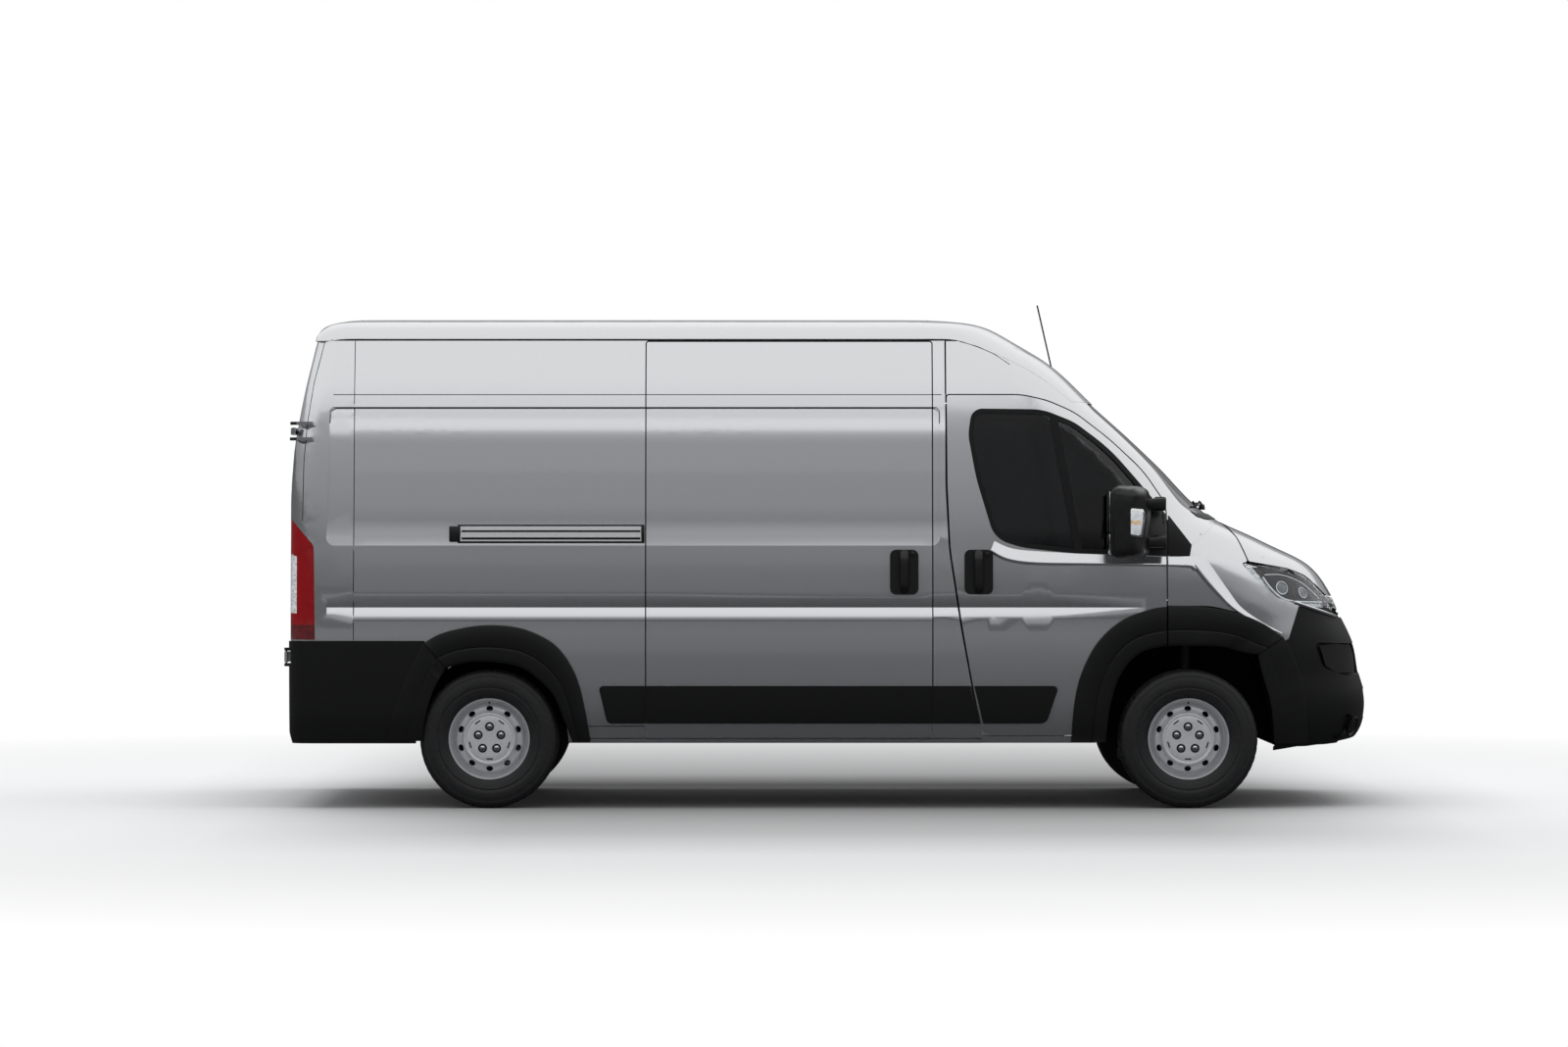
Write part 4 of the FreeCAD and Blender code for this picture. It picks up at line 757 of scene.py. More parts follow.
# Headlamps: clear lens over a satin reflector, a dark inner bezel with a bright line round it, and two bowls
def lamp_face(inward, side):
    """Outer face of the headlamp, set back along its own normals."""
    bm = merged("headlamps")
    bmesh.ops.delete(bm, geom=[f for f in bm.faces if f.calc_center_median().y * side < 0], context="FACES")
    middle = Vector((2.05, side * 0.55, 0.85))
    inner = [f for f in bm.faces if f.normal.dot((f.calc_center_median() - middle).normalized()) < 0.35]
    bmesh.ops.delete(bm, geom=inner, context="FACES")
    bm.normal_update()
    for vert, shift in [(v, v.normal * inward) for v in bm.verts]:
        vert.co -= shift
    return bm


def thick(bm, depth):
    """Closed sheet of a thickness, grown to the inside."""
    bmesh.ops.recalc_face_normals(bm, faces=bm.faces)
    bmesh.ops.solidify(bm, geom=bm.faces[:], thickness=depth)
    bmesh.ops.recalc_face_normals(bm, faces=bm.faces)
    return bm


bright_lines = (
    ([(2.128, 1.140), (2.150, 1.105), (2.190, 1.060), (2.235, 1.028), (2.300, 1.016), (2.380, 1.014),
      (2.440, 1.012)], 0.0055),
    ([(2.136, 1.150), (2.200, 1.154), (2.260, 1.142), (2.330, 1.112), (2.390, 1.066), (2.425, 1.030)], 0.003),
)
for name, side in sides:
    lens = piece("headlamp_lens_" + name, thick(lamp_face(0.0, side), 0.0025), lens_sheet, angle=50)
    if side < 0:
        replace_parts(lens, "headlamps")
    piece("headlamp_reflector_" + name, thick(lamp_face(0.024, side), 0.002), reflector, angle=50)
    dark = lamp_face(0.019, side)
    for place, normal in (((2.130, 0, 1.130), (-0.75, 0, -0.66)), ((2.2, 0, 1.012), (0.0, 0, -1))):
        cut_by(dark, place, normal, True)
    piece("headlamp_bezel_" + name, thick(dark, 0.003), smooth_black, angle=50)
    bezel_skin = BVHTree.FromBMesh(lamp_face(0.015, side))
    bright = [tube([on_side(bezel_skin, x, z, 0.0, side) for x, z in path], radius)
              for path, radius in bright_lines]
    bulbs = []
    for x, z, radius in ((2.225, 1.086, 0.034), (2.335, 1.060, 0.029)):
        spot, out, _, _ = bezel_skin.ray_cast(Vector((x, side * outside_y, z)), Vector((0, -side, 0)))
        if spot:
            out = out if out.y * side > 0 else -out
            rim_mm = radius * 1000
            ring = turned([(rim_mm, 0), (rim_mm, 5), (rim_mm - 4, 6), (rim_mm - 4, 0)], 40)
            bright.append(set_at(ring, spot - out * 0.004, out))
            bulbs.append(rod(spot - out * 0.014, spot - out * 0.002, radius * 0.5, radius * 0.9, 32, 0.001))
    piece("headlamp_bright_lines_" + name, bright, bright_chrome, angle=40)
    piece("headlamp_projectors_" + name, bulbs, projector_glass, angle=40)

# Bright strips from under the headlamps to the bumper's middle, and the slats of the upper grille
nose_skin = skin_of("front_bumper", "headlamps", "front_wings", "grille", "bonnet")
piece("headlamp_chrome_strips",
      [tube([on_side(nose_skin, 2.285 + 0.230 * i / 12, 1.016 - 0.076 * i / 12, 0.0025, side)
             for i in range(13)], 0.0095) for side in (-1, 1)], bright_chrome, angle=40)
grille_skin = skin_of("grille", "front_bumper")
across_nose = [0.50 * (i - 12) / 12 for i in range(25)]
piece("grille_slats", [tube([on_front(grille_skin, y, z, 0.001) for y in across_nose], 0.006, 3)
                       for z in (0.950, 0.972, 0.994, 1.016)], smooth_black, angle=40)

# Lower intake: a mesh behind the bumper's lip, its backing and the undertray
lip_skin = skin_of("front_bumper")
lip_height = 0.60
lip = [spot for spot in (on_front(lip_skin, y, lip_height, -0.028) for y in across_nose) if spot]
bars = [tube([(spot.x, spot.y, z) for spot in lip], 0.005, 3) for z in (0.462, 0.488, 0.514, 0.540, 0.566)]
for i in range(-9, 10):
    spot = on_front(lip_skin, i * 0.052, lip_height, -0.034)
    bars.append(block((spot.x - 0.004, spot.y - 0.003, 0.440), (spot.x + 0.004, spot.y + 0.003, 0.585),
                      0.001))
piece("lower_intake_mesh", bars, smooth_black, angle=40)
half_tray = [(2.20, -0.86), (2.36, -0.80), (2.46, -0.70), (2.54, -0.52), (2.58, -0.26)]
tray = outlined(half_tray + [(2.59, 0)] + [(x, -y) for x, y in half_tray[::-1]], 0.3035, 0.3110, 0.001, "xy")
piece("intake_backing_and_undertray", [block((2.442, -0.62, 0.33), (2.452, 0.62, 0.63), 0.002), tray],
      chassis_black)


# Painted shade: black sheets that close the mouths of the bumper's corner scoops
def spanning(skin, points, top, bottom, rise, side):
    """Sheet that closes a mouth between the skin above and the skin below it."""
    bm = bmesh.new()
    bm.faces.new([bm.verts.new((x, 0, z)) for x, z in points])
    for i in range(1, 10):
        cut_by(bm, (points[0][0] + 0.0225 * i, 0, 0), (1, 0, 0))
    for vert in bm.verts:
        above, below = (on_side(skin, vert.co.x, z, rise, side) for z in (top, bottom))
        part = (vert.co.z - bottom) / (top - bottom)
        vert.co.y = above.y * part + below.y * (1 - part)
    return deepened(bm, (0, -side * 0.002, 0))


scoop = [(2.417, 0.799), (2.508, 0.809), (2.600, 0.790), (2.622, 0.740), (2.618, 0.662), (2.508, 0.663),
         (2.448, 0.699)]
piece("bumper_scoop_mouth_shade", [spanning(lip_skin, scoop, 0.825, 0.640, 0.0010, side) for side in (-1, 1)],
      joint_and_shade_black, angle=40)

# Fog lamps in round dark recesses of the bumper's corners
for name, profile, paint in (
        ("fog_lamp_rims", [(36, -14), (50, -14), (54, 1), (50, 4), (44, 1), (37, -9)], smooth_black),
        ("fog_lamp_lenses", [(0.001, -8), (20, -7.4), (36, -9), (36, -12), (0.001, -12)], rear_clear)):
    pair = []
    for side in (-1, 1):
        spot, out, _, _ = lip_skin.ray_cast(Vector((ahead_x, side * 0.690, 0.392)), Vector((-1, 0, 0)))
        pair.append(set_at(turned(profile, 40), spot, out if out.x > 0 else -out))
    piece(name, pair, paint, angle=35)

# Front sills below the cab doors, which run on from the side walls
sill = [(-0.9902, 0.3225), (-0.9961, 0.3560), (-0.9300, 0.3560), (-0.9300, 0.3225)]
front_sill = outlined(sill, 0.7365, 1.300, plane="yz")
piece("front_sills", [other_side(front_sill), front_sill], silver_lacquer)

# Painted shade: black rods sunk in the joints through the rub strips, and at the window corner's front edge
strip_skin = skin_of("body_mouldings", "sliding_door_trim", "front_door_trim_right", "front_door_trim_left")
gaps = []
for side, low_x, high_x in ((-1, -0.9175, -0.9175), (-1, 0.497, 0.497), (-1, 0.728, 0.686),
                            (1, 0.728, 0.686)):
    foot, head = (on_side(strip_skin, x - 0.02, z, -0.006, side)
                  for x, z in ((low_x, 0.425), (high_x, 0.598)))
    gaps.append(tube([(low_x, foot.y, 0.419), (high_x, head.y, 0.603)], 0.0062, 2, False))
piece("strip_joint_shadows", gaps, joint_and_shade_black)
corner_skin = skin_of("window_corners")
gaps = []
for side in (-1, 1):
    spots = [on_side(corner_skin, 1.672, z, -0.002, side) for z in (1.262, 1.300, 1.340, 1.380, 1.420)]
    points = [Vector((wing_back_x, spot.y, spot.z)) for spot in spots if spot]
    gaps.append(tube([points[0] - Vector((0, 0, 0.016))] + points, 0.0062, 2, False))
piece("window_corner_shadows", gaps, joint_and_shade_black)

# Cowl below the windscreen and the two wipers parked on it
screen_skin = skin_of("windscreen")
cowl_skin = skin_of("cab_frame", "bonnet", "front_panel", "front_wings")
down = Vector((0, 0, -1))


def screen_foot(y):
    """Lowest place of the windscreen at a place across the van, looked for from the front."""
    for k in range(60):
        hit = screen_skin.ray_cast(Vector((1.965 - 0.006 * k, y, above_z)), down)[0]
        if hit:
            return hit


def on_screen(y, up, proud):
    """Point over the windscreen, some way up from its lower edge."""
    spot = min(screen_edge, key=lambda e: abs(e.y - y))
    hit, normal, _, _ = screen_skin.ray_cast(Vector((spot.x - up * 0.70, y, above_z)), down)
    if not hit:
        return spot + Vector((0, 0, 0.03))
    return hit + (normal if normal.z > 0 else -normal) * proud


screen_edge = [spot for spot in (screen_foot(0.80 * (i - 16) / 16) for i in range(33)) if spot]
cowl_bm = bmesh.new()
rows = []
for spot in screen_edge:
    row = []
    for shift in (-0.012, 0.004, 0.020, 0.036, 0.052):
        base = cowl_skin.ray_cast(Vector((spot.x + shift, spot.y, above_z)), down)[0]
        height = (base.z if base else spot.z) + 0.004
        row.append(Vector((spot.x + shift, spot.y, min(height, spot.z + 0.006))))
    row += [place - Vector((0, 0, 0.003)) for place in row[::-1]]
    rows.append([cowl_bm.verts.new(place) for place in row])
piece("windscreen_cowl", lofted(cowl_bm, rows), grained_black, angle=40)

wipers = []
for pivot, tip, first, last in ((0.62, 0.10, 0.10, 0.58), (-0.08, -0.42, -0.12, -0.66)):
    foot = on_screen(pivot, -0.02, 0.012)
    elbow = on_screen(pivot + (tip - pivot) * 0.25, 0.02, 0.030)
    blade = [on_screen(first + (last - first) * i / 10, 0.060 + 0.004 * i / 10, 0.016) for i in range(11)]
    wipers += [rod(foot - Vector((0, 0, 0.012)), foot + Vector((0, 0, 0.016)), 0.018, 0.014, bevel=0.002),
               tube([foot, elbow, on_screen(tip, 0.065, 0.028)], 0.0062, 3), tube(blade, 0.0060, 3),
               tube([spot - Vector((0, 0, 0.008)) for spot in blade], 0.0032, 2)]
piece("wipers", wipers, smooth_black, angle=40)


# Cab: padded seats on plinths, wheel and fascia
def stuffed(low, high, cap, channels=()):
    """Cushion between two corners: its cover is swelled by air, then drawn in along its sewn channels."""
    margin = Vector((0.012, 0.012, 0.012))
    cover = placed("cover", mesh_of("cover", block(Vector(low) + margin, Vector(high) - margin, 0.022, 3)))
    coarse = cover.data
    remesh = cover.modifiers.new("remesh", "REMESH")
    remesh.mode = "VOXEL"
    remesh.voxel_size = 0.012
    fine = worked_out(cover)
    cover.modifiers.clear()
    cover.data = fine
    start = [v.co.copy() for v in fine.vertices]
    ends = start
    cloth = cover.modifiers.new("air", "CLOTH")
    cloth.settings.use_pressure = True
    cloth.settings.uniform_pressure_force = 4.0
    cloth.settings.effector_weights.gravity = 0.0
    cloth.point_cache.frame_start, cloth.point_cache.frame_end = 1, 20
    for frame_number in range(1, 21):
        bpy.context.scene.frame_set(frame_number)
    swelled = cover.evaluated_get(bpy.context.evaluated_depsgraph_get()).data
    ends = [v.co.copy() for v in swelled.vertices]
    bpy.context.scene.frame_set(1)
    result = bmesh.new()
    result.from_mesh(fine)
    for vert, first, last in zip(result.verts, start, ends):
        shift = last - first
        vert.co = first + shift * min(1.0, cap / max(shift.length, 1e-6))
    result.normal_update()
    moves = []
    for vert in result.verts:
        near = [abs(vert.co[axis] - place) for axis, place in channels]
        pulls = [0.009 * (1 - away / 0.022) ** 1.5 for away in near if away < 0.022]
        moves.append(vert.normal * max(pulls, default=0.0))
    for vert, move in zip(result.verts, moves):
        vert.co -= move
        for axis in range(3):
            vert.co[axis] = min(max(vert.co[axis], low[axis]), high[axis])
    bpy.data.objects.remove(cover)
    bpy.data.meshes.remove(coarse)
    bpy.data.meshes.remove(fine)
    bmesh.ops.subdivide_edges(result, edges=result.edges[:], cuts=1, use_grid_fill=True, smooth=0.6)
    return result


seat_body = body_of_node["seats"]
for name, side in sides:
    low_y, high_y = sorted((side * 0.252, side * 0.738))
    middle = side * 0.495
    sewn = ((1, middle - 0.14), (1, middle + 0.14))
    pads = [piece(pad + name, stuffed(low, high, cap, channels), seat_cloth, seat_body, 60)
            for pad, low, high, cap, channels in (
                ("seat_cushion_", (0.655, low_y, 0.665), (1.138, high_y, 0.800), 0.014, sewn + ((0, 0.90),)),
                ("seat_back_", (0.642, low_y, 0.805), (0.788, high_y, 1.270), 0.014, sewn + ((2, 1.04),)),
                ("head_restraint_", (0.655, middle - 0.13, 1.300), (0.770, middle + 0.13, 1.478), 0.012, ()))]
    if side < 0:
        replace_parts(pads[0], "seats")
    posts = [rod((0.712, middle + shift, 1.250), (0.712, middle + shift, 1.320), 0.006, segments=16)
             for shift in (-0.06, 0.06)]
    plinth = block((0.70, low_y + 0.05, 0.541), (1.08, high_y - 0.05, 0.672), 0.012, 3)
    lever = block((0.86, middle + side * 0.20, 0.60), (0.98, middle + side * 0.225, 0.63), 0.008, 3)
    piece("seat_frame_" + name, posts + [plinth, lever], cab_plastic, seat_body)

ring_angles = [math.tau * i / 12 for i in range(12)]
steering_parts = [turned([(190 + 15.5 * math.cos(a), 15.5 * math.sin(a)) for a in ring_angles], 72),
                  turned([(0.001, 12), (40, 11), (58, 4), (62, -8), (50, -22), (0.001, -24)], 48)]
for turn in (0, 115, -115):
    spoke = block((-0.020, -0.016, 0.040), (0.020, -0.002, 0.186), 0.006, 3)
    bmesh.ops.rotate(spoke, matrix=Matrix.Rotation(math.radians(turn) + math.pi, 3, "Y"), verts=spoke.verts)
    steering_parts.append(spoke)
steering_parts = [set_at(combined(steering_parts), (1.030, 0.450, 1.160), Vector((-0.8, 0, 0.6))),
                  rod((1.040, 0.450, 1.150), (1.158, 0.450, 1.062), 0.030, 0.036, 32, 0.003)]
steering_parts += [rod((1.075, 0.450, 1.130), (1.060, 0.450 + shift, 1.170), 0.007, 0.009, 16, 0.002)
                   for shift in (-0.15, 0.15)]
steering = piece("cab_steering_wheel", steering_parts, cab_plastic, body_of_node["steering_wheel"], 40)
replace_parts(steering, "steering_wheel")

fascia = [block((1.175, -0.868, 0.902), (1.338, 0.868, 1.150), 0.030, 4),
          block((1.215, -0.868, 1.100), (1.339, 0.868, 1.234), 0.035, 4),
          block((1.162, 0.270, 1.130), (1.260, 0.630, 1.232), 0.028, 4),
          block((1.162, -0.170, 0.960), (1.200, 0.170, 1.170), 0.014, 3)]
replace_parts(piece("moulded_fascia", fascia, cab_plastic, body_of_node["dashboard"], 40), "dashboard")
outlets = [rod((1.1625, y, 1.105), (1.180, y, 1.105), 0.036, 0.040, 32, 0.003)
           for y in (-0.76, -0.26, 0.20, 0.78)]
dials = [rod((1.1605, y, 1.180), (1.166, y, 1.180), 0.034, 0.036, 32, 0.002) for y in (0.390, 0.480)]
display = block((1.1605, -0.105, 1.050), (1.164, 0.105, 1.150), 0.002)
piece("fascia_outlets_and_dials", outlets + dials + [display], smooth_black, body_of_node["dashboard"], 40)

# Load space: ribbed floor mat, and a handle with its lock on the rear doors
mat = [block((-2.540, -0.600, 0.5405), (0.480, 0.600, 0.546), 0.001)]
mat += [block((-2.530, -0.560 + 0.08 * i, 0.545), (0.470, -0.545 + 0.08 * i, 0.549), 0.001)
        for i in range(15)]
piece("load_floor_mat", mat, cab_plastic)
behind = skin_of("rear_door_right").ray_cast(Vector((-ahead_x, -0.085, 1.12)), Vector((1, 0, 0)))[0].x
piece("rear_door_handle", [block((behind - 0.004, -0.125, 1.045), (behind + 0.010, -0.045, 1.255), 0.006, 3),
                           block((behind - 0.0085, -0.110, 1.075), (behind, -0.060, 1.225), 0.0035, 3)],
      smooth_black, "rear_leaf_right")

# Fuel tank: blow-moulded, with a flange and ribs
tank_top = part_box("fuel_tank")[1].z
tank = [block((-0.40, -0.40, 0.312), (0.56, 0.40, tank_top), 0.03, 4),
        block((-0.39, -0.41, 0.352), (0.55, 0.41, 0.364), 0.004)]
tank += [block((x, -0.36, 0.306), (x + 0.05, 0.36, 0.330), 0.006) for x in (-0.28, -0.12, 0.04, 0.20, 0.36)]
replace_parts(piece("moulded_fuel_tank", tank, chassis_black, body_of_node["fuel_tank"]), "fuel_tank")

# Joint lines of the side: roof seams, the line over the field, corner and sill seams
body_lines = [  # (x, z) in mm
    [(-2462, 2040), (541, 2040)], [(-2358, 2306), (-2358, 830)], [(-2358, 2314), (-2358, 2426)],
    [(-916, 2314), (-916, 2428)], [(493, 2314), (493, 2428)], [(-2478, 2312), (559, 2312)],
    [(-2509, 2306), (-2560, 2100), (-2590, 1900), (-2606, 1710), (-2611, 1420)],
    [(-2478, 1900), (-2478, 1960), (-2462, 1977), (515, 1977), (531, 1960), (531, 1900)],
    [(1760, 1298), (1882, 1404)],
    [(559, 2312), (640, 2303), (720, 2280), (800, 2244), (880, 2190)],
    [(559, 2306), (559, 2044)],
]
sill_end = {-1: -925, 1: 735}  # the upper sill line ends at the sliding door on its side
lines = []
for side, names in ((-1, ("side_wall_right", "sliding_door", "front_door_right", "rear_door_right")),
                    (1, ("side_wall_left", "front_door_left", "rear_door_left"))):
    skin = skin_of("rear_frame", "roof", "cab_frame", "front_wings", *names)
    for path in body_lines + [[(-1900, 405), (sill_end[side], 405)], [(-1900, 345), (735, 345)]]:
        lines.append(seam(skin, [(x / 1000, z / 1000) for x, z in path], side=side))
piece("side_joint_lines", lines, joint_and_shade_black)

# End caps of the slide rail, the dark slots that the roller runs in, and painted shadow lines along its lower
# and upper edges
low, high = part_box("slide_rail")
piece("slide_rail_caps",
      [block((low.x - 0.012, low.y - 0.002, low.z - 0.001), (low.x + 0.044, high.y, high.z + 0.001), 0.004),
       block((high.x - 0.016, low.y - 0.001, low.z - 0.001), (high.x + 0.001, high.y, high.z + 0.001))],
      smooth_black)
rail_skin = skin_of("slide_rail")
rail_slots_and_shadow_lines = [seam(rail_skin, [(low.x + 0.05, z), (high.x - 0.02, z)], radius)
              for z, radius in ((low.z + 0.013, 0.0060), (high.z - 0.024, 0.0050))]
# Painted shadow: black rods along the rail's lower and upper edges
rail_slots_and_shadow_lines += [rod((low.x + 0.03, low.y + 0.012, z), (high.x, low.y + 0.012, z), 0.005, segments=12)
               for z in (low.z - 0.004, high.z + 0.003)]
piece("slide_rail_slots", rail_slots_and_shadow_lines, joint_and_shade_black)


# Handles: a bow grip over a dished plate, with its lock, on each cab door and the sliding door
def grip(x, side, skin):
    out = abs(on_side(skin, x, 1.165, 0.0, side).y)
    bow_line = ((-0.004, 1.072), (0.016, 1.086), (0.022, 1.125), (0.022, 1.205), (0.016, 1.244),
                (-0.004, 1.258))
    bow = tube([(x, side * (out + rise), z) for rise, z in bow_line], 0.019, 6)
    centre = Matrix.Translation((-x, -side * (out + 0.004), 0))
    bmesh.ops.scale(bow, vec=(1.15, 0.62, 1), space=centre, verts=bow.verts)
    ends = [(x + 0.042, side * (out + rise), 1.255) for rise in (-0.002, 0.004)]
    return [bow, rod(*ends, 0.011, bevel=0.001)]


for name, x, side, trim, body in (
        ("cab_door_grip_right", 0.722, -1, "front_door_trim_right", "door_right"),
        ("cab_door_grip_left", 0.722, 1, "front_door_trim_left", "door_left"),
        ("sliding_door_grip", 0.355, -1, "sliding_door_trim", "van_body")):
    piece(name, grip(x, side, skin_of(trim)), smooth_black, body)


# Door mirrors: a rounded head with its glass, a repeater lens in a silver frame, and two arms
def mirror_head():
    """Right-hand head, shaped from a box: tapered outwards and forwards, its edges rounded."""
    bm = block((1.352, -1.320, 1.226), (1.562, -1.094, 1.594), 0.0)
    bmesh.ops.subdivide_edges(bm, edges=bm.edges[:], cuts=3, use_grid_fill=True)
    for vert in bm.verts:
        fore = (vert.co.x - 1.352) / 0.210
        out = (-1.094 - vert.co.y) / 0.226
        vert.co.x -= 0.085 * fore * out ** 2
        vert.co.x += 0.030 * (1 - fore) * (1 - out)
        vert.co.z += (1.41 - vert.co.z) * (0.10 * fore ** 2 + 0.06 * out ** 2)
    round_off(bm, [e for e in bm.edges if e.calc_face_angle(0) > 0.9], 0.034, 4)
    bmesh.ops.smooth_vert(bm, verts=bm.verts, factor=0.4, use_axis_x=True, use_axis_y=True, use_axis_z=True)
    return bm


for name, side in sides:
    body = "door_" + name
    turn = other_side if side > 0 else (lambda bm: bm)
    frame_band = outlined([(1.350, 1.262), (1.350, 1.552), (1.362, 1.572), (1.402, 1.580), (1.402, 1.240),
                           (1.362, 1.246)], -1.316, -1.098, 0.010)
    arms = [outlined([(1.500, z - 0.020), (1.500, z + 0.020), (1.560, z + 0.026), (1.634, z + 0.030),
                      (1.634, z - 0.026), (1.560, z - 0.026)], -1.150, -1.012, 0.008)
            for z in mirror_arm_heights]
    glass = [outlined([(-1.300, low), (-1.112, low), (-1.112, high), (-1.300, high)], 1.3465, 1.352, 0.002,
                      "yz") for low, high in ((1.262, 1.352), (1.362, 1.560))]
    lens = outlined([(1.442, 1.352), (1.442, 1.462), (1.456, 1.470), (1.506, 1.464), (1.512, 1.446),
                     (1.502, 1.352), (1.488, 1.344)], -1.3215, -1.270, 0.006)
    lens_rim = outlined([(1.435, 1.342), (1.435, 1.472), (1.452, 1.480), (1.512, 1.474), (1.520, 1.450),
                         (1.509, 1.342), (1.492, 1.334)], -1.3185, -1.280, 0.006)
    bulb = outlined([(1.450, 1.398), (1.450, 1.420), (1.502, 1.420), (1.500, 1.398)], -1.3222, -1.300, 0.002)
    head = piece("mirror_head_" + name, turn(combined([mirror_head(), frame_band] + arms)), smooth_black,
                 body, 40)
    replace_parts(head, "door_mirror_" + name)
    piece("mirror_glass_" + name, turn(combined(glass)), mirror_silver, body)
    piece("mirror_repeater_frame_" + name, turn(lens_rim), bright_chrome, body)
    piece("mirror_repeater_lens_" + name, turn(lens), lamp_clear, body)
    piece("mirror_repeater_bulb_" + name, turn(bulb), amber_lens, body)

# Tail lamps: red lens with a clear section for reversing and a smoked foot
clear_low, clear_front, foot_top = 0.962, -2.640, 0.905
lamp_bm = merged("tail_lamps")
for place, normal in (((0, 0, 1.222), (0.25, 0, 1)), ((0, 0, clear_low), (-0.3, 0, 1)),
                      ((clear_front, 0, 0), (1, 0, 0)), ((0, 0, foot_top), (0, 0, 1))):
    cut_by(lamp_bm, place, normal)
for face in lamp_bm.faces:
    middle = face.calc_center_median()
    if middle.x < clear_front and clear_low < middle.z < 0.582 - 0.25 * middle.x:
        face.material_index = 1
    elif middle.z < foot_top:
        face.material_index = 2
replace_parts(piece("tail_lamp_lenses", lamp_bm, [lamp_red, rear_clear, dark_red], angle=25), "tail_lamps")


# Studio: pale floor with a painted soft shadow around the van, which fades into a white backdrop
def stage_piece(name, bm, paint):
    """Piece of the studio, which is no part of the van."""
    made = placed(name, mesh_of(name, bm))
    made.data.materials.append(paint)
    return made


def disc(radius, height=0.0):
    bm = bmesh.new()
    bmesh.ops.create_circle(bm, cap_ends=True, segments=96, radius=radius)
    bmesh.ops.translate(bm, vec=(0, 0, height), verts=bm.verts)
    return bm


def empty_tree(owner):
    owner.use_nodes = True
    owner.node_tree.nodes.clear()
    return owner.node_tree


def grey(value):
    return (value, value, value, 1)


floor_paint = bpy.data.materials.new("white_studio_floor")
floor_paint.use_nodes = True
floor_paint.diffuse_color = colour("#f2f2f2")
tree = floor_paint.node_tree
shader = tree.nodes["Principled BSDF"]
shader.inputs["Roughness"].default_value = 0.9
shader.inputs["Specular IOR Level"].default_value = 0.1
place = add(tree, "ShaderNodeTexCoord")
reach = add(tree, "ShaderNodeVectorMath", {"operation": "LENGTH"}, {0: (place, "Object")})
fade = add(tree, "ShaderNodeMapRange", {"From Min": 4.2, "From Max": 9.0}, {"Value": (reach, "Value")})
split = add(tree, "ShaderNodeSeparateXYZ", None, {0: (place, "Object")})
shadow_front, shadow_back = -7.0, 9.0
across = add(tree, "ShaderNodeMapRange", {"From Min": shadow_front, "From Max": shadow_back},
             {"Value": (split, "Y")})
# Painted shadow: part of the floor's brightness that is left at each y
painted_light_across = [(shadow_front, 1.0), (-4.6, 0.90), (-3.0, 0.57), (-1.5, 0.48), (0.3, 0.35), (1.3, 0.12),
                (2.5, 0.38), (3.7, 0.50), (5.6, 0.66), (shadow_back, 1.0)]
painted_soft_shadow = ramp(tree, across, [((y - shadow_front) / (shadow_back - shadow_front), grey(part))
                                  for y, part in painted_light_across])
# How strongly the painted shadow shows along x: full along the van, none beyond its ends
centred = add(tree, "ShaderNodeMath", {"operation": "SUBTRACT", 1: 0.05}, {0: (split, "X")})
along = add(tree, "ShaderNodeMath", {"operation": "ABSOLUTE"}, {0: (centred, 0)})
ends = add(tree, "ShaderNodeMapRange", {"From Min": 0.0, "From Max": 4.0}, {"Value": (along, 0)})
weight = ramp(tree, ends, [(0.0, grey(1)), (0.40, grey(1)), (0.56, grey(0.65)), (0.73, grey(0.15)),
                           (0.88, grey(0))])
# Floor colour under the painted shadow
shaded = add(tree, "ShaderNodeMix", {"data_type": "RGBA", 6: grey(1)},
             {0: (weight, "Color"), 7: (painted_soft_shadow, "Color")})
pale = add(tree, "ShaderNodeMix", {"data_type": "RGBA", "blend_type": "MULTIPLY", 0: 1.0,
                                   6: colour("#f6f6f6")}, {7: (shaded, 2)})
tree.links.new(pale.outputs[2], shader.inputs["Base Color"])
# The far floor glows white, still darkened where the painted shadow reaches it
white = add(tree, "ShaderNodeEmission", {"Strength": 1.0}, {"Color": (shaded, 2)})
blend = add(tree, "ShaderNodeMixShader", None, {0: (fade, "Result"), 1: (shader, 0), 2: (white, 0)})
tree.links.new(blend.outputs[0], tree.nodes["Material Output"].inputs["Surface"])
stage_piece("studio_floor", disc(60.0), floor_paint)

# World: even light, and white to the camera, in mirrors and through glass
world = bpy.data.worlds.new("studio")
bpy.context.scene.world = world
tree = empty_tree(world)
even = add(tree, "ShaderNodeBackground", {"Color": (0.97, 0.98, 1.0, 1), "Strength": 0.6})
plain = add(tree, "ShaderNodeBackground", {"Color": (1, 1, 1, 1), "Strength": 1.0})
ray = add(tree, "ShaderNodeLightPath")
seen = add(tree, "ShaderNodeMath", {"operation": "MAXIMUM"},
           {0: (ray, "Is Camera Ray"), 1: (ray, "Is Transmission Ray")})
also = add(tree, "ShaderNodeMath", {"operation": "MAXIMUM"}, {0: (seen, 0), 1: (ray, "Is Glossy Ray")})
final = add(tree, "ShaderNodeMixShader", None, {0: (also, 0), 1: (even, 0), 2: (plain, 0)})
add(tree, "ShaderNodeOutputWorld", None, {0: (final, 0)})


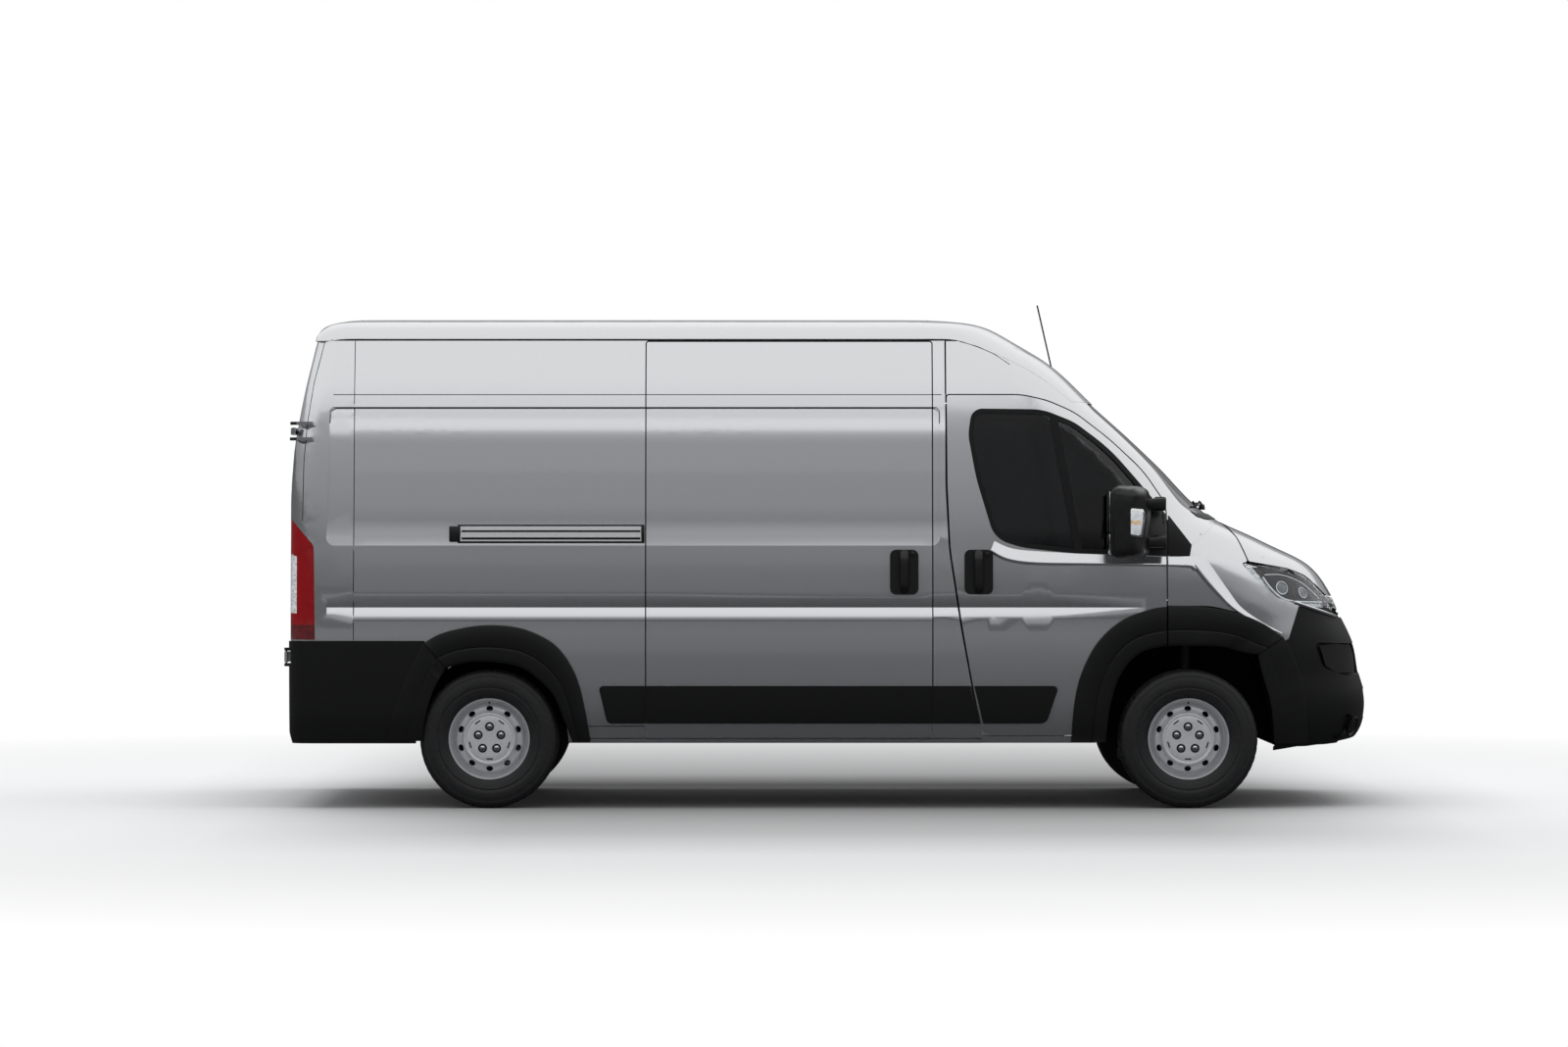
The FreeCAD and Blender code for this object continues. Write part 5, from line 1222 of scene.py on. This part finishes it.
# Grey studio wall and floor cloth that only the gloss of the paint mirrors, as in the photograph's studio
def glowing(name, kind, settings, output, low, high, stops):
    """Material that only shines, in the shades of a ramp over one measure of the place."""
    made = bpy.data.materials.new(name)
    tree = empty_tree(made)
    place = add(tree, "ShaderNodeTexCoord")
    measure = add(tree, kind, settings, {0: (place, "Object")})
    spread = add(tree, "ShaderNodeMapRange", {"From Min": low, "From Max": high},
                 {"Value": (measure, output)})
    shades = ramp(tree, spread, [(position, colour(code)) for position, code in stops])
    glow = add(tree, "ShaderNodeEmission", {"Strength": 1.0}, {"Color": (shades, "Color")})
    add(tree, "ShaderNodeOutputMaterial", None, {0: (glow, 0)})
    return made


wall_radius, wall_height = 34.0, 16.0
wall_bm = bmesh.new()
bmesh.ops.create_cone(wall_bm, cap_ends=False, segments=96, radius1=wall_radius, radius2=wall_radius,
                      depth=wall_height)
bmesh.ops.translate(wall_bm, vec=(0, 0, wall_height / 2), verts=wall_bm.verts)
grey_wall = glowing("grey_studio_wall", "ShaderNodeSeparateXYZ", None, "Z", 0.0, wall_height,
                    [(0.0, "#505052"), (0.318, "#525254"), (0.334, "#969698"), (0.53, "#9c9c9e"),
                     (0.62, "#aeaeb0"), (0.665, "#f2f2f4"), (1.0, "#ffffff")])
grey_cloth = glowing("grey_floor_cloth", "ShaderNodeVectorMath", {"operation": "LENGTH"}, "Value", 1.0, 20.0,
                     [(0.0, "#2c2c2e"), (0.23, "#505052"), (0.45, "#5a5a5c"), (0.7, "#6c6c6e"),
                      (1.0, "#8a8a8c")])
for card in (stage_piece("studio_wall", wall_bm, grey_wall),
             stage_piece("floor_cloth", disc(wall_radius, 0.004), grey_cloth)):
    card.visible_camera = False
    card.visible_diffuse = False
    card.visible_transmission = False
    card.visible_shadow = False

ceiling = bpy.data.lights.new("ceiling_softbox", "AREA")
ceiling.shape = "RECTANGLE"
ceiling.size, ceiling.size_y = 14.0, 9.0
ceiling.energy = 640.0
softbox = placed("ceiling_softbox", ceiling)
softbox.location = (0.0, 0.8, 9.0)
softbox.rotation_euler = Vector((0, 0, -1)).to_track_quat("-Z", "Y").to_euler()
softbox.visible_glossy = False

camera_data = bpy.data.cameras.new("photo_camera")
camera = placed("photo_camera", camera_data)
bpy.context.scene.camera = camera
camera.location = (-0.387, -26.7, 1.404)
camera.rotation_euler = (math.radians(90), 0.0, 0.0)
camera_data.lens = 119.7
camera_data.sensor_width = 36.0
camera_data.shift_x = 0.0194
camera_data.clip_end = 200.0
bpy.context.scene.view_settings.view_transform = "Standard"
